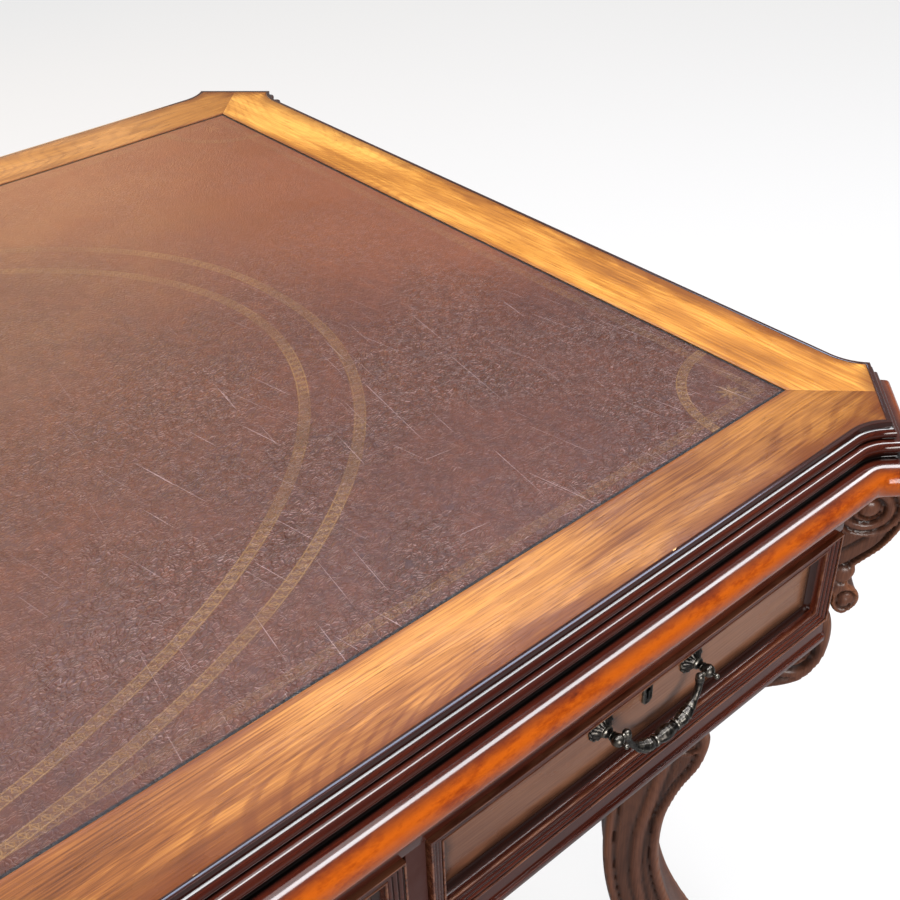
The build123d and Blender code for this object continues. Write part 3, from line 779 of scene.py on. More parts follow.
def bronze_material():
    """Dark antique bronze: black-green in the hollows, rubbed brassy on the high places."""
    finish = Finish("antique_bronze", Metallic=1.0)
    at = finish.place()
    cloud = finish.noise(at, 260.0, 3.0, 0.6)
    colour = finish.ramp(cloud, (0.35, (38, 36, 36)), (0.55, (68, 65, 62)), (0.75, (114, 108, 100)))
    high = finish.node("ShaderNodeNewGeometry", output="Pointiness")
    rub = finish.span(high, 0.505, 0.60, 0.0, 0.75)
    deep = finish.fading(high, 0.40, 0.495, 0.85)
    colour = finish.layers(colour, (rub, (196, 190, 178)), (deep, (20, 19, 20)))
    pits = finish.noise(at, 1400.0, 2.0)
    rough = finish.span(cloud, 0.3, 0.7, 0.24, 0.42)
    return finish.done(colour, rough, finish.bump(pits, 0.0001, 0.35))


def plain_material(name, scale, dark, light, rough, bump, **constants):
    """A clouded colour between two tones, with as much difference in its gloss."""
    finish = Finish(name, **constants)
    cloud = finish.noise(finish.place(), scale, 3.0, 0.6)
    colour = finish.ramp(cloud, (0.3, dark), (0.7, light))
    return finish.done(colour, finish.span(cloud, 0.3, 0.7, *rough), finish.bump(cloud, *bump))


def lipped(finish, colour, at):
    """A dark lipping on the front edge of each partition, which shows between the drawers."""
    front = -node_box("drawer_partition_left")[0][1]
    lip = finish.math("GREATER_THAN", finish.axes(at)[0], (front - LIPPING) * MM)
    return finish.layers(colour, (lip, MAHOGANY[1]))


def frame_of(drawer):
    """Centre, length and height of a drawer's frame, from its CAD box."""
    low, high = node_box(drawer + "_frame")
    return (low + high) / 2, high[0] - low[0], high[2] - low[2]


def panel_shade(finish, colour, at):
    """Painted shade gathered along the frame round each drawer panel, where the frame shades it."""
    middle, length, height = frame_of("right_drawer")
    _, long_length, _ = frame_of("centre_drawer")
    across, _, rise = finish.axes(at)
    across = abs(across)
    gap = (height / 2 - FRAME_WIDTH) * MM - abs(rise - middle[2] * MM)
    for edge in (middle[0] - length / 2 + FRAME_WIDTH, middle[0] + length / 2 - FRAME_WIDTH,
                 long_length / 2 - FRAME_WIDTH):
        gap = finish.math("MINIMUM", gap, abs(across - edge * MM))
    wide = finish.drawn_out(at, (30.0, 60.0, 60.0)) * 0.012 + 0.001
    # painted shade, darkest next to the frame
    return finish.layers(colour, (finish.fading(gap / wide, 0.0, 1.5, 0.8), (30, 15, 11)))


STEEL, GLIDE = (176, 176, 178), ((26, 22, 20), (48, 42, 38))
MATERIALS = {
    "leather": leather_material(),
    "bronze": bronze_material(),
    "steel": plain_material("steel", 400.0, [tone * 0.75 for tone in STEEL], STEEL,
                            (0.28, 0.455), (0.00005, 0.3), Metallic=1.0),
    "glide": plain_material("glide", 900.0, *GLIDE, (0.5, 0.75), (0.0001, 0.4)),
}
for family, grains, *look in (  # tones, gloss, figure, coat, shade, blotch, pores, sheen
    ("honey", "x", HONEY_DARK, 0.3, 0.85, 0.03, burnished, 0.7, 1.7, 0.14),
    ("honey", "y", HONEY, 0.3, 0.65, 0.03, burnished, 0.7, 1.7, 0.14),
    ("moulding", "xy", MAHOGANY, 0.16, 0.5, 0.55, moulding_shade, 0.5, 0.08, 0.25),
    ("frieze", "xyz", MAHOGANY, 0.2, 0.5, 0.4, None, 0.4, 0.5, 0.35),
    ("frame", "xz", MAHOGANY, 0.22, 0.4, 0.4, framed_shade, 0.35, 0.2, 0.3),
    ("box", "xy", BEECH, 0.5, 0.8, 0.0),
    ("sawn", "xy", SAWN, 0.65, 0.7, 0.0),
    ("lipped", "y", SAWN, 0.55, 0.7, 0.0, lipped),
    ("carved", "z", CARVED, 0.36, 0.5, 0.12, carved_shade, 0.5, 0.5, 0.3),
    ("panel", "x", PANEL, 0.22, 0.4, 0.3, panel_shade, 0.5, 0.5, 0.3),
):
    for grain in grains:
        MATERIALS[family + "_" + grain] = wood(family + "_" + grain, grain, *look)


# ---------------------------------------------------------------- the top
def flare_points(steps=10):
    """The front run's flare at the front right corner, as (x, y, out_x, out_y) stations."""
    centre_x, centre_y = HALF_X + FLARE_START, -EDGE_Y - FLARE_RADIUS
    stations = []
    for k in range(steps + 1):
        turn = FLARE_ANGLE * k / steps
        x, y = centre_x + FLARE_RADIUS * math.sin(turn), centre_y + FLARE_RADIUS * math.cos(turn)
        stations.append((x, y, -math.sin(turn), -math.cos(turn)))
    return stations


def over_diagonal(station):
    """A station of the front run carried to the side run by the corner's mirror line."""
    x, y, out_x, out_y = station
    return (HALF_X - (y + HALF_Y), -HALF_Y - (x - HALF_X), -out_y, -out_x)


def mitred(station, next_out):
    """The station with its offset direction widened for a mitre with the next run."""
    x, y, out_x, out_y = station
    share = 1 + out_x * next_out[0] + out_y * next_out[1]
    return (x, y, (out_x + next_out[0]) / share, (out_y + next_out[1]) / share)


def corner_stations():
    """Flare, mitre, cant, mitre and flare of the front right corner, one after another."""
    flare = flare_points()
    cant_out = (math.sqrt(0.5), -math.sqrt(0.5))
    first = mitred(flare[-1], cant_out)
    second = over_diagonal(first)
    cant = [tuple(a + (b - a) * k / 6 for a, b in zip(first, second)) for k in range(1, 6)]
    back = [over_diagonal(s) for s in reversed(flare[:-1])]
    return flare[:-1] + [first] + cant + [second] + back


def straight(start, end, out, step=14.0):
    """Stations along a straight run."""
    (x0, y0), (x1, y1) = start, end
    count = max(2, int(math.hypot(x1 - x0, y1 - y0) / step))
    return [
        (x0 + (x1 - x0) * k / count, y0 + (y1 - y0) * k / count, out[0], out[1])
        for k in range(count + 1)
    ]


def build_leather():
    """The hide: a sheet with a faint swell, falling a little at its edge."""
    columns, rows = 242, 124
    sunk, swell_height, edge_fall, rim = 0.12, 0.10, 0.25, 3.0
    x = np.linspace(-HALF_X, HALF_X, columns)
    y = np.linspace(-HALF_Y, HALF_Y, rows)
    grid_x, grid_y = np.meshgrid(x, y)
    gap = np.minimum(HALF_X - abs(grid_x), HALF_Y - abs(grid_y))
    swell = swell_height * np.sin(grid_x / 61 + 1.3 * np.sin(grid_y / 83))
    swell *= np.sin(grid_y / 47 + grid_x / 140)
    z = LEATHER_HIGH[2] - sunk + swell * np.clip(gap / 30, 0, 1)
    z -= edge_fall * np.clip(1 - gap / rim, 0, 1)
    points, faces = slab(np.dstack([grid_x, grid_y, z]), LEATHER_HIGH[2] - LEATHER_LOW[2] - 0.4)
    mesh = closed_mesh("leather", points, faces)
    add_piece("leather_top", mesh, "desk", MATERIALS["leather"], ["leather_panel"])


def border_board(half_length):
    """Inner and outer edge of one border board as (along, out) points, mitred at both ends."""
    corner = corner_stations()
    end = [(x - HALF_X, -y - HALF_Y) for x, y, _, _ in corner[: len(corner) // 2 + 1]]
    straight_end = end[0][0] - 20.0
    run = np.linspace(-half_length - straight_end, half_length + straight_end, 120)
    outer = [(u, EDGE_Y - HALF_Y) for u in run] + [(half_length + u, v) for u, v in end]
    inner = [(u, 0.0) for u in run]
    for k in range(len(end)):
        inner.append((half_length + straight_end * (1 - (k + 1) / len(end)), 0.0))
    left_inner = [(-u, v) for u, v in reversed(inner[len(run):])]
    left_outer = [(-u, v) for u, v in reversed(outer[len(run):])]
    return np.array(left_inner + inner), np.array(left_outer + outer)


def build_borders():
    """Four mitred boards; each carries its distance to the leather and to the moulding."""
    shares = [0.0, 0.008, 0.03, 0.08] + list(np.linspace(0.16, 0.84, 9)) + [0.92, 0.97, 0.99, 1.0]
    width = EDGE_Y - HALF_Y
    ease = 0.22
    for side in ("front", "back", "right", "left"):
        lengthwise = side in ("front", "back")
        inner, outer = border_board(HALF_X if lengthwise else HALF_Y)
        across = np.array(shares)[:, None, None]
        plan = inner[None] * (1 - across) + outer[None] * across
        along, out = plan[..., 0], plan[..., 1]
        drop = np.zeros(along.shape)
        drop[0], drop[-1] = ease, ease * 0.6
        drop[:, 0] = drop[:, -1] = ease
        sign = -1 if side in ("front", "left") else 1
        if lengthwise:
            x, y = along, sign * (HALF_Y + out)
        else:
            x, y = sign * (HALF_X + out), along
        points, faces = slab(np.dstack([x, y, TOP - drop]), VENEER)
        gap = np.repeat(np.array(shares)[:, None], along.shape[1], 1).reshape(-1) * width
        values = {"inner_gap": np.tile(gap, 2), "outer_gap": np.tile(width - gap, 2)}
        mesh = closed_mesh("border_" + side, points, faces, values)
        material = MATERIALS["honey_x" if lengthwise else "honey_y"]
        add_piece("veneer_border_" + side, mesh, "desk", material,
                  ["border_" + side])


def moulding_outline():
    """Section as (out, down), with the share of torus, hollow and arris at each point."""
    torus_out, torus_down, torus, lift = 15.0, 38.5, 14.0, math.radians(20)
    torus_start = (torus_out - torus * math.sin(lift), torus_down - torus * math.cos(lift))
    outline = [(0, 0.15), (3.2, 0.05)]
    outline += arc_through((3.2, 4.4), (7.2, 8.2), (5.0, 12.2), 9)
    outline += arc_through((8.0, 12.2), (13.2, 16.6), (9.4, 21.2), 10)
    outline += [(9.4, 24.6)]
    outline += arc_through(torus_start, (torus_out + torus, torus_down), (torus_out, 52.5), 26)
    outline += [(-35.0, 52.5), (-35.0, 28.2), (0, 28.2)]
    outline = softened(outline, 0.55)
    torus_share = [clamped((d - 25.0) / 5.0) for _, d in outline]
    quirks = ((3.2, 4.6), (5.2, 12.2), (9.2, 23.6), (10.2, 25.2), (11.4, 25.2))
    # hollow: the fillet's own black, and painted shade round the concave quirks
    hollow = []
    for e, d in outline:
        near = min(math.hypot(e - qe, d - qd) for qe, qd in quirks)
        hollow.append(0.5 if d < 4.3 else clamped(1.9 - near / 1.3))
    arris = [1.0 if math.hypot(e - 3.2, d) < 1.4 else 0.0 for e, d in outline]
    return outline, torus_share, hollow, arris


def build_mouldings():
    """Four straight runs and the four shaped corners."""
    outline, *shares = moulding_outline()
    keys = ("torus", "hollow", "arris")

    def add(name, stations, axis, corners=((1, 1),)):
        points, faces = swept(outline, stations)
        values = {key: share * len(stations) for key, share in zip(keys, shares)}
        shell = Shell()
        for sign_x, sign_y in corners:
            shell.add(points * (sign_x, sign_y, 1), faces, **values)
        piece = "moulding_" + name
        replaced = "edge_moulding_" + name.removeprefix("run_")
        add_piece(piece, shell.mesh(piece, 30), "desk",
                  MATERIALS["moulding_" + axis], [replaced])

    end = flare_points()[0][0]
    side = over_diagonal(flare_points()[0])[1]
    add("run_front", straight((-end, -EDGE_Y), (end, -EDGE_Y), (0, -1)), "x")
    add("run_back", straight((-end, EDGE_Y), (end, EDGE_Y), (0, 1)), "x")
    add("run_right", straight((EDGE_X, side), (EDGE_X, -side), (1, 0)), "y")
    add("run_left", straight((-EDGE_X, side), (-EDGE_X, -side), (-1, 0)), "y")
    add("corners", corner_stations(), "x", CORNERS.values())


build_leather()
build_borders()
build_mouldings()


# ---------------------------------------------------------------- legs and brackets
def on_diagonal(points, sign_x, sign_y):
    """Carries (out along the diagonal, down, across) points to a corner of the desk."""
    points = np.asarray(points, float)
    s, down, across = points[:, 0], points[:, 1], points[:, 2]
    x = HALF_X + (s + across) * math.sqrt(0.5)
    y = -HALF_Y + (across - s) * math.sqrt(0.5)
    return np.column_stack([x * sign_x, y * sign_y, TOP - down])


def bracket_outline():
    """Console scroll on the cant, as (out, down), as in the CAD solid."""
    cant, top, low = 38.9, 52.6, 180.0
    outline = [(cant, top), (80, top)]
    belly = [(80, top), (93, 61), (100, 72), (103.5, 85), (102, 102), (97, 117), (88, 133),
             (76, 146), (70, 152)]
    outline += [tuple(p) for p in smooth_curve(belly, 2.0)][1:]
    outline += arc_through((70.4, 154.5), (70.6, 161), (66.5, 167.6), 6)
    outline += arc_through((68.5, 172.3), (78.3, 187), (67, 202), 12)
    outline += arc_through((62, 200.5), (57.2, 193), (56.2, 184), 5)
    outline += [(55, low), (cant, low)]
    return outline


def add_at_corners(name, replaced, solids):
    """A piece of carved wood at each corner, from solids given on the diagonal."""
    for corner, signs in CORNERS.items():
        piece = name + "_" + corner
        shell = Shell()
        for points, faces, values in solids:
            shell.add(on_diagonal(points, *signs), faces, **values)
        add_piece(piece, shell.mesh(piece, 60), "desk", MATERIALS["carved_z"],
                  [replaced + "_" + corner])


def build_brackets():
    """Carved consoles: a big volute with a boss, a small curl below it and a roll between."""
    big = (70.8, 93.9)
    volute = Nearness(spiral(big, 9.6, 25.0, 1.7, -1.2))
    small = (67.0, 187.0)
    curl = Nearness(spiral(small, 5.2, 8.6, 1.1, 0.5, 1.3))
    roll = (62.0, 160.5)
    sweep = Nearness(smooth_curve(
        [(92, 113), (84, 130), (71, 143), (60, 152), (48, 160), (40, 166)], 1.5))
    inner_sweep = Nearness(smooth_curve([(72, 123), (60, 133), (50, 139), (40, 142)], 1.5))

    def relief(x, y, gap):
        from_big = math.hypot(x - big[0], y - big[1])
        from_small = math.hypot(x - small[0], (y - small[1]) / 1.3)
        cut = -1.4 - 3.0 * bell(sweep(x, y), 2.1) - 2.2 * bell(inner_sweep(x, y), 1.8)
        cut -= 2.2 * bell(gap - 5.2, 1.2)
        if y < 150 and from_big < 27:
            cut = -0.6 - 3.2 * bell(volute(x, y), 1.7)
        if from_big < 9.6:
            cut = -3.4 + 4.6 * dome(from_big, 8.6)
        if from_small < 14 and y > 170:
            cut = -0.4 - 3.0 * bell(curl(x, y), 1.2)
            if from_small < 4.2:
                cut = -2.2 + 3.4 * dome(from_small, 4.4)
        from_roll = math.hypot(x - roll[0], y - roll[1])
        if from_roll < 9:
            cut = -4.0 + 4.4 * dome(from_roll, 9.2)
        return cut

    solid = carved_solid(
        bracket_outline(), 36.0, relief, spacing=1.6, ease=4.0, cove=1.6, bands=8)
    add_at_corners("carved_bracket", "scroll_bracket", [solid])


def leg_outline():
    """Scrolled knee, long sweep in and scrolled toe, as (out, down), as in the CAD solid."""
    foot = TOP - 3.0
    outer = [
        (38.9, 180.2), (54, 192), (60.5, 216), (58, 246), (44, 270), (24, 279),
        (2, 285), (-16, 303), (-28, 325), (-22, 350), (-27, 382), (-43, 418), (-54, 462),
        (-54, 518), (-41, 578), (-16, 635), (14, 684), (44, 712), (56, 738), (46, 762), (28, foot),
    ]
    inner = [
        (-8, foot), (-22, 752), (-52, 700), (-82, 636), (-101, 566), (-108, 494), (-104, 424),
        (-91, 356), (-76, 296), (-60, 240), (-50, 180.2),
    ]
    outline = [tuple(p) for p in smooth_curve(outer, 2.2)]
    return outline + [tuple(p) for p in smooth_curve(inner, 2.2)]


def build_legs():
    """Carved legs, each with a round tenon that goes up into its corner post."""
    knee, lobe, toe = (31.0, 236.0), (-42.0, 352.0), (32.0, 742.0)
    knee_curl = Nearness(spiral(knee, 7.0, 20.0, 1.6, 2.2, 1.25, -1))
    toe_curl = Nearness(spiral(toe, 5.0, 17.0, 1.6, -2.0, 1.1))
    lobe_curl = Nearness(spiral(lobe, 4.0, 13.0, 1.5, 0.4))
    vein = Nearness(smooth_curve(
        [(-30, 300), (-52, 350), (-66, 420), (-76, 490), (-72, 560), (-52, 630), (-20, 690),
         (4, 720)], 2.0))

    def relief(x, y, gap):
        from_knee = math.hypot(x - knee[0], (y - knee[1]) / 1.25)
        from_toe = math.hypot(x - toe[0], y - toe[1])
        from_lobe = math.hypot(x - lobe[0], y - lobe[1])
        cut = -2.6 * bell(gap - 9.5, 2.0) - (1.6 if gap > 9.5 else 0.0)
        if y > 296:
            cut += 1.8 * bell(vein(x, y), 4.5) - 1.6 * bell(vein(x, y) - 6.5, 1.8)
        if from_knee < 24:
            cut = -1.4 + 1.2 * (1 - bell(knee_curl(x, y), 4.0)) - 4.2 * bell(knee_curl(x, y), 2.4)
        if from_knee < 5.6:
            cut = -3.0 + 3.6 * dome(from_knee, 6.0)
        if from_lobe < 16:
            cut = -0.8 - 3.2 * bell(lobe_curl(x, y), 1.7)
        if from_toe < 20:
            cut = -1.0 - 3.4 * bell(toe_curl(x, y), 2.0)
        if from_toe < 4.4:
            cut = -2.6 + 3.0 * dome(from_toe, 4.6)
        if x < 24 and y < 205:
            cut *= clamped((y - 184) / 18)
        return cut

    solid = carved_solid(leg_outline(), 52.0, relief, spacing=2.4, ease=6.0, cove=3.0, bands=12)
    tenon, faces = turned([(13.9, -135.0), (13.9, -180.5)], 32)
    tenon = (tenon * (1, 1, -1))[:, [0, 2, 1]]
    plain = [0.0] * len(tenon)
    add_at_corners("carved_leg", "leg", [solid, (tenon, faces, {"hollow": plain, "arris": plain})])


# ---------------------------------------------------------------- frames
def frame_section():
    """Reeded moulding as (in from the edge, out from the panel), with hollow and arris shares."""
    top = 12.0
    outline = [(0.05, 0.0), (0.05, top - 0.05), (1.4, top - 0.05), (1.4, top - 1.3)]
    reeds, start, end = 3, (1.6, top - 1.6), (10.8, top - 4.9)
    quirks = [[start[i] + (end[i] - start[i]) * k / reeds for i in (0, 1)]
              for k in range(reeds + 1)]
    for a, b in zip(quirks, quirks[1:]):
        middle = ((a[0] + b[0]) / 2 + 0.30, (a[1] + b[1]) / 2 + 0.95)
        outline += arc_through(a, middle, b, 8)[:-1]
    outline += [end, (11.0, top - 3.45), (12.2, top - 3.45)]
    outline += arc_through((12.4, top - 4.2), (13.4, 3.2), (FRAME_WIDTH, 0.35), 8)
    outline += [(FRAME_WIDTH, 0.0)]
    outline = softened(outline, 0.32, 40)
    # hollow: painted shade in the quirks between the reeds and in the cove down to the panel;
    # arris: where the painted highlight runs
    hollow, arris = [], []
    for w, h in outline:
        quirk = min(math.hypot(w - quirk_w, h - quirk_h) for quirk_w, quirk_h in quirks)
        deep = 0.75 if w > 13.0 else 0.0
        hollow.append(max(deep, clamped(1.5 - quirk / 0.45)))
        edge = min(math.hypot(w - 0.7, h - top) / 1.2, math.hypot(w - 11.6, h - top + 3.45) / 1.2)
        arris.append(1.0 if edge < 1.0 else 0.0)
    return outline, hollow, arris


def frame_shell(shell, centre, right, outward, length, height):
    """Four mitred bars round a panel; returns which faces belong to the upright bars."""
    outline, hollow, arris = frame_section()
    centre, right, outward = (np.array(v, float) for v in (centre, right, outward))
    up = np.array([0, 0, 1.0])
    corners = [(-1, -1), (1, -1), (1, 1), (-1, 1)]
    upright = []
    rings = 17
    for k in range(4):
        points = []
        (x0, z0), (x1, z1) = corners[k], corners[(k + 1) % 4]
        for t in np.linspace(0, 1, rings):
            for w, h in outline:
                first = np.array([x0 * (length / 2 - w), z0 * (height / 2 - w)])
                last = np.array([x1 * (length / 2 - w), z1 * (height / 2 - w)])
                along = first + (last - first) * t
                points.append(centre + right * along[0] + up * along[1] + outward * h)
        faces = capped_faces(rings, len(outline))
        shell.add(points, faces, hollow=hollow * rings, arris=arris * rings)
        upright += [k % 2] * len(faces)
    return upright


def add_frames(name, frames, body, replaced):
    """Frames round one or more panels as one piece, with the grain along every bar."""
    shell = Shell()
    upright = []
    for each in frames:
        upright += frame_shell(shell, *each)
    mesh = shell.mesh(name, 32)
    looks = [MATERIALS["frame_x"], MATERIALS["frame_z"]]
    add_piece(name, mesh, body, looks, [replaced])
    if len(mesh.polygons) == len(upright):
        mesh.polygons.foreach_set("material_index", upright)


def build_frames():
    """Frames on the drawer fronts, and the same frames on the back and the two ends."""
    blind = []
    for drawer in DRAWERS:
        (x, _, z), length, height = frame_of(drawer)
        own = ((x, -PANEL_Y, z), (1, 0, 0), (0, -1, 0), length, height)
        add_frames(drawer + "_reeded_frame", [own], drawer, drawer + "_frame")
        blind.append(((-x, PANEL_Y, z), (-1, 0, 0), (0, 1, 0), length, height))
    panel_x = EDGE_X + (PANEL_Y - EDGE_Y)
    for sign in (1, -1):
        blind.append(
            ((sign * panel_x, 0, z), (0, sign, 0), (sign, 0, 0), SIDE_PANEL_LENGTH, height))
    add_frames("blind_panel_frames", blind, "desk", "frieze_panel_frames")


# ---------------------------------------------------------------- pulls and keyhole plates
PULL_SPAN, PULL_DOWN, PULL_OUT = 86.5, 103.0, 21.0


def facing(points, x, down, out):
    """Carries (right, up, outward) points to the drawer front."""
    points = np.asarray(points, float)
    right, up, outward = points.T
    return np.column_stack([right + x, -(EDGE_Y + out) - outward, TOP - down + up])


def rosette():
    """Shell-like backplate: a scalloped rim, radiating petals and a raised collar."""
    sides, petals = 112, 14
    profile = smooth_curve(
        [(11.0, 0.0), (11.0, 0.9), (10.6, 1.7), (9.8, 1.5), (8.8, 2.0), (6.6, 3.6), (5.2, 4.6),
         (4.4, 5.6), (3.2, 5.7), (3.1, 4.6)], 0.55)
    points = []
    for radius, z in profile:
        share = clamped((radius - 4.0) / 6.5)
        for j in range(sides):
            angle = 2 * math.pi * j / sides
            valley = 1 - abs(math.cos(petals * angle / 2))
            r = radius * (1 - 0.055 * share * valley)
            height = max(0.0, z - (0.9 * share * valley**1.5 if z > 0.5 else 0.0))
            points.append((r * math.cos(angle), r * math.sin(angle), height))
    return np.array(points), capped_faces(len(profile), sides)


def post():
    """Turned post with collar, ball and finial, and its thread through the drawer front."""
    seat, ball, tip = 15.0, 4.6, 1.9
    profile = [(0.01, -25.0), (2.0, -25.0), (2.2, -24.4), (2.2, 0.0), (2.9, 0.05), (2.9, 5.0),
               (4.1, 5.7), (4.4, 6.6), (4.0, 7.5), (3.0, 8.0), (2.5, 9.2), (3.3, 10.2),
               (3.5, 10.7), (2.9, 11.2)]
    for k in range(1, 13):
        angle = -1.05 + k * 2.35 / 12
        profile.append((ball * math.cos(angle), seat + ball * math.sin(angle)))
    neck = seat + ball + 0.5
    profile += [(1.3, neck), (1.25, neck + 0.4)]
    for k in range(9):
        angle = -1.0 + k * 2.55 / 8
        radius = max(0.02, tip * math.cos(angle))
        profile.append((radius, seat + ball + 2.4 + tip * math.sin(angle)))
    return turned(profile, 36)


def nut():
    """Six-sided nut on the thread, inside the drawer."""
    profile = [(2.25, -22.0), (4.6, -22.0), (5.0, -21.6), (5.0, -18.4), (4.6, -18.02),
               (2.25, -18.02)]
    return turned(profile, 6)


def bail_shell():
    """Swan-necked drop handle: slim arms, leaf-carved swells and a ringed ball in the middle."""
    reach, drop = PULL_SPAN / 2 - 8.2, 24.0
    half = [(reach, 0, 0), (reach - 0.6, -5, 0.5), (reach - 3.6, -11.6, 1.4),
            (reach - 9.5, -17.6, 2.4), (reach - 17.5, -22.2, 3.0), (reach - 26, -drop, 3.2),
            (0, -drop, 3.2)]
    right = smooth_curve(half, 0.45)
    left = [p * (-1, 1, 1) for p in reversed(right[:-1])]
    last = len(right) - 1
    # share of the way from the end to the middle, and the radius there
    stops = [(0, 3.0), (0.05, 3.2), (0.11, 2.5), (0.30, 2.4), (0.38, 2.8), (0.52, 4.1), (0.66, 4.6),
             (0.73, 3.4), (0.755, 3.0), (0.775, 4.4), (0.80, 4.4), (0.82, 3.2), (0.85, 3.6),
             (0.93, 5.0), (1.0, 5.3)]
    radii = [float(np.interp(k / last, *zip(*stops))) for k in range(last + 1)]

    def leaves(k, angle):
        """Overlapping leaves on the swell and flutes on the middle ball."""
        share = min(k, 2 * last - k) / last
        if 0.34 < share < 0.73:
            scale = (share - 0.34) / 0.13 % 1.0
            return 1.0 + 0.13 * abs(math.cos(3.5 * angle)) * (0.5 + scale) - 0.10 * (1 - scale)
        return 1.0 + 0.05 * math.cos(10 * angle) if share > 0.86 else 1.0

    shell = Shell()
    shell.add(*lofted_tube(right + left, radii + radii[-2::-1], 28, leaves))
    pin_profile = [(0.01, reach - 1), (1.62, reach - 1), (1.62, reach + 8.3), (1.3, reach + 8.6),
                   (0.01, reach + 8.6)]
    ball_profile = [(3.0 * math.sin(t) + 0.01, 3.0 * math.cos(t))
                    for t in np.linspace(0.02, math.pi - 0.02, 16)]
    for sign in (-1, 1):
        pin, faces = turned(pin_profile, 20)
        shell.add(pin[:, [2, 0, 1]] * (sign, 1, 1), faces)
        ball, faces = turned(ball_profile, 24)
        shell.add(ball + (sign * reach, 0, 0), faces)
    return shell


def escutcheon():
    """Oblong keyhole plate with a raised rim."""
    half_width, half_height = 4.5, 9.5
    straight_part = half_height - half_width
    outline = [(half_width * math.cos(t), straight_part + half_width * math.sin(t))
               for t in np.linspace(0, math.pi, 16)]
    outline += [(-x, -y) for x, y in outline]

    def relief(x, y, gap):
        slot = max(abs(x) - 0.9, abs(y + 1.6) - 4.0)
        hole = math.hypot(x, y - 2.6) - 1.9
        cut = -0.5 * (1 - bell(gap - 0.9, 0.7))
        return -1.9 if min(slot, hole) < 0 else cut

    points, faces, values = carved_solid(outline, 4.0, relief, 0.42, 0.5, 0.0, 3)
    points[:, 2] = np.where(points[:, 2] > 0, points[:, 2], 0.0)
    return points, faces, values


def middle_of(node):
    """The middle of a CAD node's box, as x and the distance down from the top."""
    low, high = node_box(node)
    return (low[0] + high[0]) / 2, TOP - (low[2] + high[2]) / 2


def build_pulls():
    """Bails, posts with their nuts, rosettes and keyhole plates of every drawer."""
    front = PANEL_Y - EDGE_Y
    plate, plate_faces, _ = escutcheon()
    for drawer in DRAWERS:
        posts, rosettes, plates = Shell(), Shell(), Shell()
        for node in [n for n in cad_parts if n.startswith(drawer + "_bail")]:
            centre, _ = middle_of(node)
            for x in (centre - PULL_SPAN / 2, centre + PULL_SPAN / 2):
                for maker, shell in ((post, posts), (nut, posts), (rosette, rosettes)):
                    points, faces = maker()
                    shell.add(facing(points, x, PULL_DOWN, front), faces)
            bail = bail_shell()
            bail.points = facing(bail.points, centre, PULL_DOWN, PULL_OUT)
            name = node + "_swan_neck"
            add_piece(name, bail.mesh(name, 60), node + "_body",
                      MATERIALS["bronze"], [node])
        plates.add(facing(plate, *middle_of(drawer + "_escutcheon"), front), plate_faces)
        for suffix, shell, sharp, part in (
            ("_turned_posts", posts, 40, "_pull_posts"),
            ("_shell_rosettes", rosettes, 40, "_pull_rosettes"),
            ("_keyhole_plate", plates, 50, "_escutcheon"),
        ):
            add_piece(drawer + suffix, shell.mesh(drawer + suffix, sharp), drawer,
                      MATERIALS["bronze"], [drawer + part])


build_brackets()
build_legs()
build_frames()
build_pulls()


# ---------------------------------------------------------------- plain joinery
# slot, look, width of the eased arrises, and the CAD nodes that have them
EASED = (
    ("frieze_wood", "frieze_x", 0.6, ("front_top_rail", "front_bottom_rail", "back_panel")),
    ("frieze_wood", "frieze_y", 0.6, ("left_panel", "right_panel")),
    ("frieze_wood", "frieze_z", 0.6, ("corner_posts",)),
    ("secondary_wood", "lipped_y", 0.5, ("drawer_partition_left", "drawer_partition_right")),
    ("secondary_wood", "sawn_y", 0.5, ("drawer_runners", "drawer_kickers")),
    ("glide", "glide", 0.5, ("foot_glides",)),
)
for slot, look, bevel, nodes in EASED:
    for node in nodes:
        refined(node, "desk", MATERIALS[look], bevel)
for drawer in DRAWERS:
    for part, look in (("_sides", "box_y"), ("_back", "box_x")):
        refined(drawer + part, drawer, MATERIALS[look], 0.8)


def dress(node, material):
    """The CAD node stays as it is and gets its material."""
    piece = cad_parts[node]
    piece.data.materials.clear()
    piece.data.materials.append(material)


dress("top_core", MATERIALS["sawn_x"])
dress("top_screws", MATERIALS["steel"])
for drawer in DRAWERS:
    dress(drawer + "_front", MATERIALS["panel_x"])
    dress(drawer + "_bottom", MATERIALS["box_x"])


# ---------------------------------------------------------------- stage, lights and camera
BACKDROP, FLOOR_GLOW = 0.965, 0.07
FLOOR_HEIGHT = -0.0002  # just clear of the glides
ROOM_DARK, ROOM_LIGHT = 0.05, 0.38


def build_stage():
    """A pale floor that reads almost white, as in a studio."""
    size = 30.0
    floor = bpy.data.meshes.new("floor")
    corners = [(x * size, y * size, 0) for x, y in ((-1, -1), (1, -1), (1, 1), (-1, 1))]
    floor.from_pydata(corners, [], [(0, 1, 2, 3)])
    piece = bpy.data.objects.new("floor", floor)
    piece.location.z = FLOOR_HEIGHT
    bpy.context.scene.collection.objects.link(piece)
    finish = Finish("floor", Roughness=0.9, Specular_IOR_Level=0.0,
                    Base_Color=(0.16, 0.16, 0.162, 1), Emission_Color=(1.0, 0.995, 0.99, 1))
    seen = finish.node("ShaderNodeLightPath", output="Is Camera Ray")
    finish.put(finish.span(seen, 0.0, 1.0, FLOOR_GLOW, BACKDROP - 0.2, smooth=False),
               finish.shader.inputs["Emission Strength"])
    floor.materials.append(finish.material)


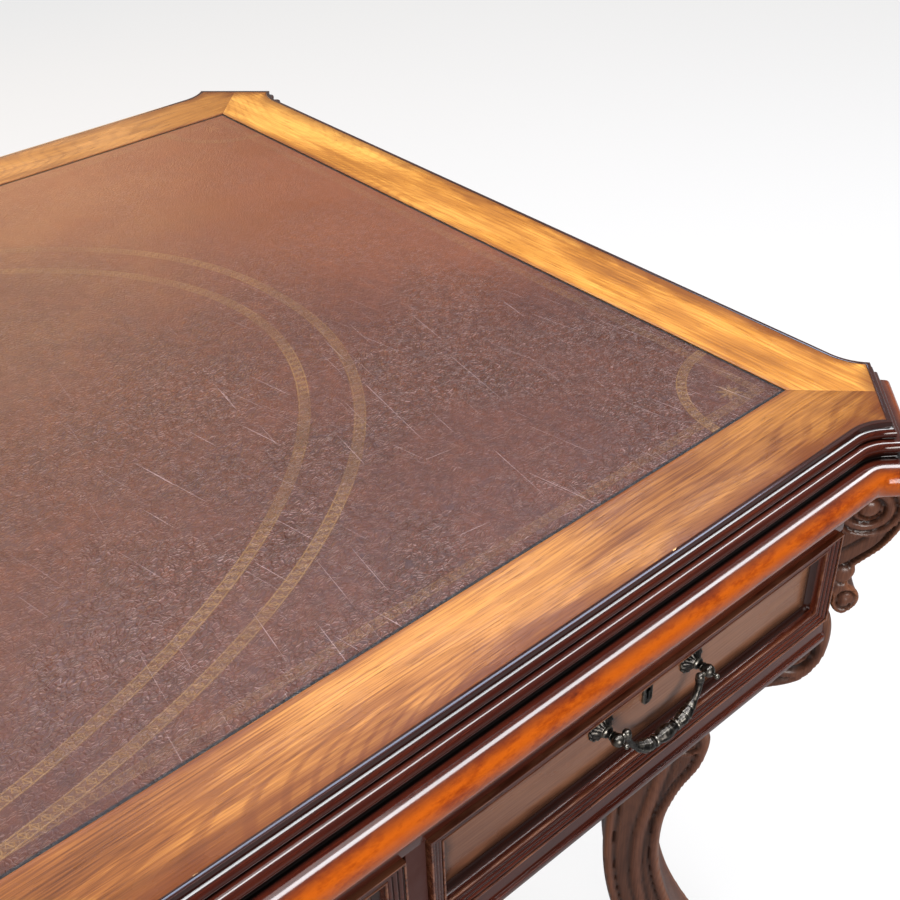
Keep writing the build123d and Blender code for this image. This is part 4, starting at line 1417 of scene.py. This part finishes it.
def softbox(name, at, aim, size, power, colour):
    """A rectangular light at a point, aimed at another."""
    light = bpy.data.lights.new(name, "AREA")
    light.shape = "RECTANGLE"
    light.size, light.size_y = size
    light.energy, light.color = power, colour
    lamp = bpy.data.objects.new(name, light)
    bpy.context.scene.collection.objects.link(lamp)
    lamp.location = at
    direction = Vector(aim) - Vector(at)
    lamp.rotation_mode = "QUATERNION"
    lamp.rotation_quaternion = direction.to_track_quat("-Z", "Y")


def build_camera():
    """Low three-quarter view over the front right corner."""
    at = Vector((0.0516, -0.7827, 1.2844))
    heading, dip, roll = math.radians(49.695), math.radians(36.359), math.radians(-1.75)
    level = Vector((math.cos(heading), math.sin(heading), 0))
    up = Vector((0, 0, 1))
    side = level.cross(up)
    look = level * math.cos(dip) - up * math.sin(dip)
    raised = level * math.sin(dip) + up * math.cos(dip)
    right = side * math.cos(roll) + raised * math.sin(roll)
    top = raised * math.cos(roll) - side * math.sin(roll)
    camera = bpy.data.cameras.new("camera")
    camera.lens, camera.sensor_width = 50.903, 36.0
    camera.clip_start, camera.clip_end = 0.02, 100.0
    piece = bpy.data.objects.new("camera", camera)
    bpy.context.scene.collection.objects.link(piece)
    piece.matrix_world = Matrix((
        (right.x, top.x, -look.x, at.x), (right.y, top.y, -look.y, at.y),
        (right.z, top.z, -look.z, at.z), (0, 0, 0, 1),
    ))
    bpy.context.scene.camera = piece


def build_world():
    """A white backdrop, with a room that is bright behind and above the desk and dark in front."""
    world = bpy.data.worlds.new("studio")
    world.use_nodes = True
    nodes = Nodes(world.node_tree)
    background = nodes.tree.nodes["Background"].inputs
    background["Color"].default_value = (1.0, 0.985, 0.97, 1)
    way = nodes.node("ShaderNodeTexCoord", output="Generated")
    behind = nodes.vector("DOT_PRODUCT", way, (0.5, 0.3, 0.7))
    glow = nodes.span(behind, 0.1, 0.95, ROOM_DARK, ROOM_LIGHT)
    seen = nodes.node("ShaderNodeLightPath", output="Is Camera Ray")
    strength = nodes.node("ShaderNodeMix", seen, inputs={2: glow, 3: BACKDROP})
    nodes.put(strength, background["Strength"])
    scene = bpy.context.scene
    scene.world = world
    scene.view_settings.view_transform = "Standard"
    scene.view_settings.look = "None"


build_stage()
build_world()
for light in (  # name, place, aim, size, watts and colour
    ("strip_over_front_edge", (0.9, -0.61, 2.5), (0.9, -0.5, 0.7), (4.6, 0.5), 122,
     (0.95, 0.97, 1.0)),
    ("overhead", (0.3, -0.15, 3.3), (0.3, -0.15, 0.77), (2.0, 1.4), 26, (1, 1, 1)),
    ("window_behind", (1.1, 1.25, 2.6), (0.35, -0.4, 0.77), (3.0, 0.5), 42, (0.58, 0.75, 1.0)),
    ("warm_wall", (0.7, 3.0, 1.9), (-0.2, 0.2, 0.77), (2.4, 1.4), 34, (1.0, 0.62, 0.32)),
    ("front_fill", (-0.7, -3.2, 1.35), (0.5, -0.3, 0.6), (1.6, 1.3), 88, (1.0, 0.98, 0.95)),
):
    softbox(*light)
build_camera()
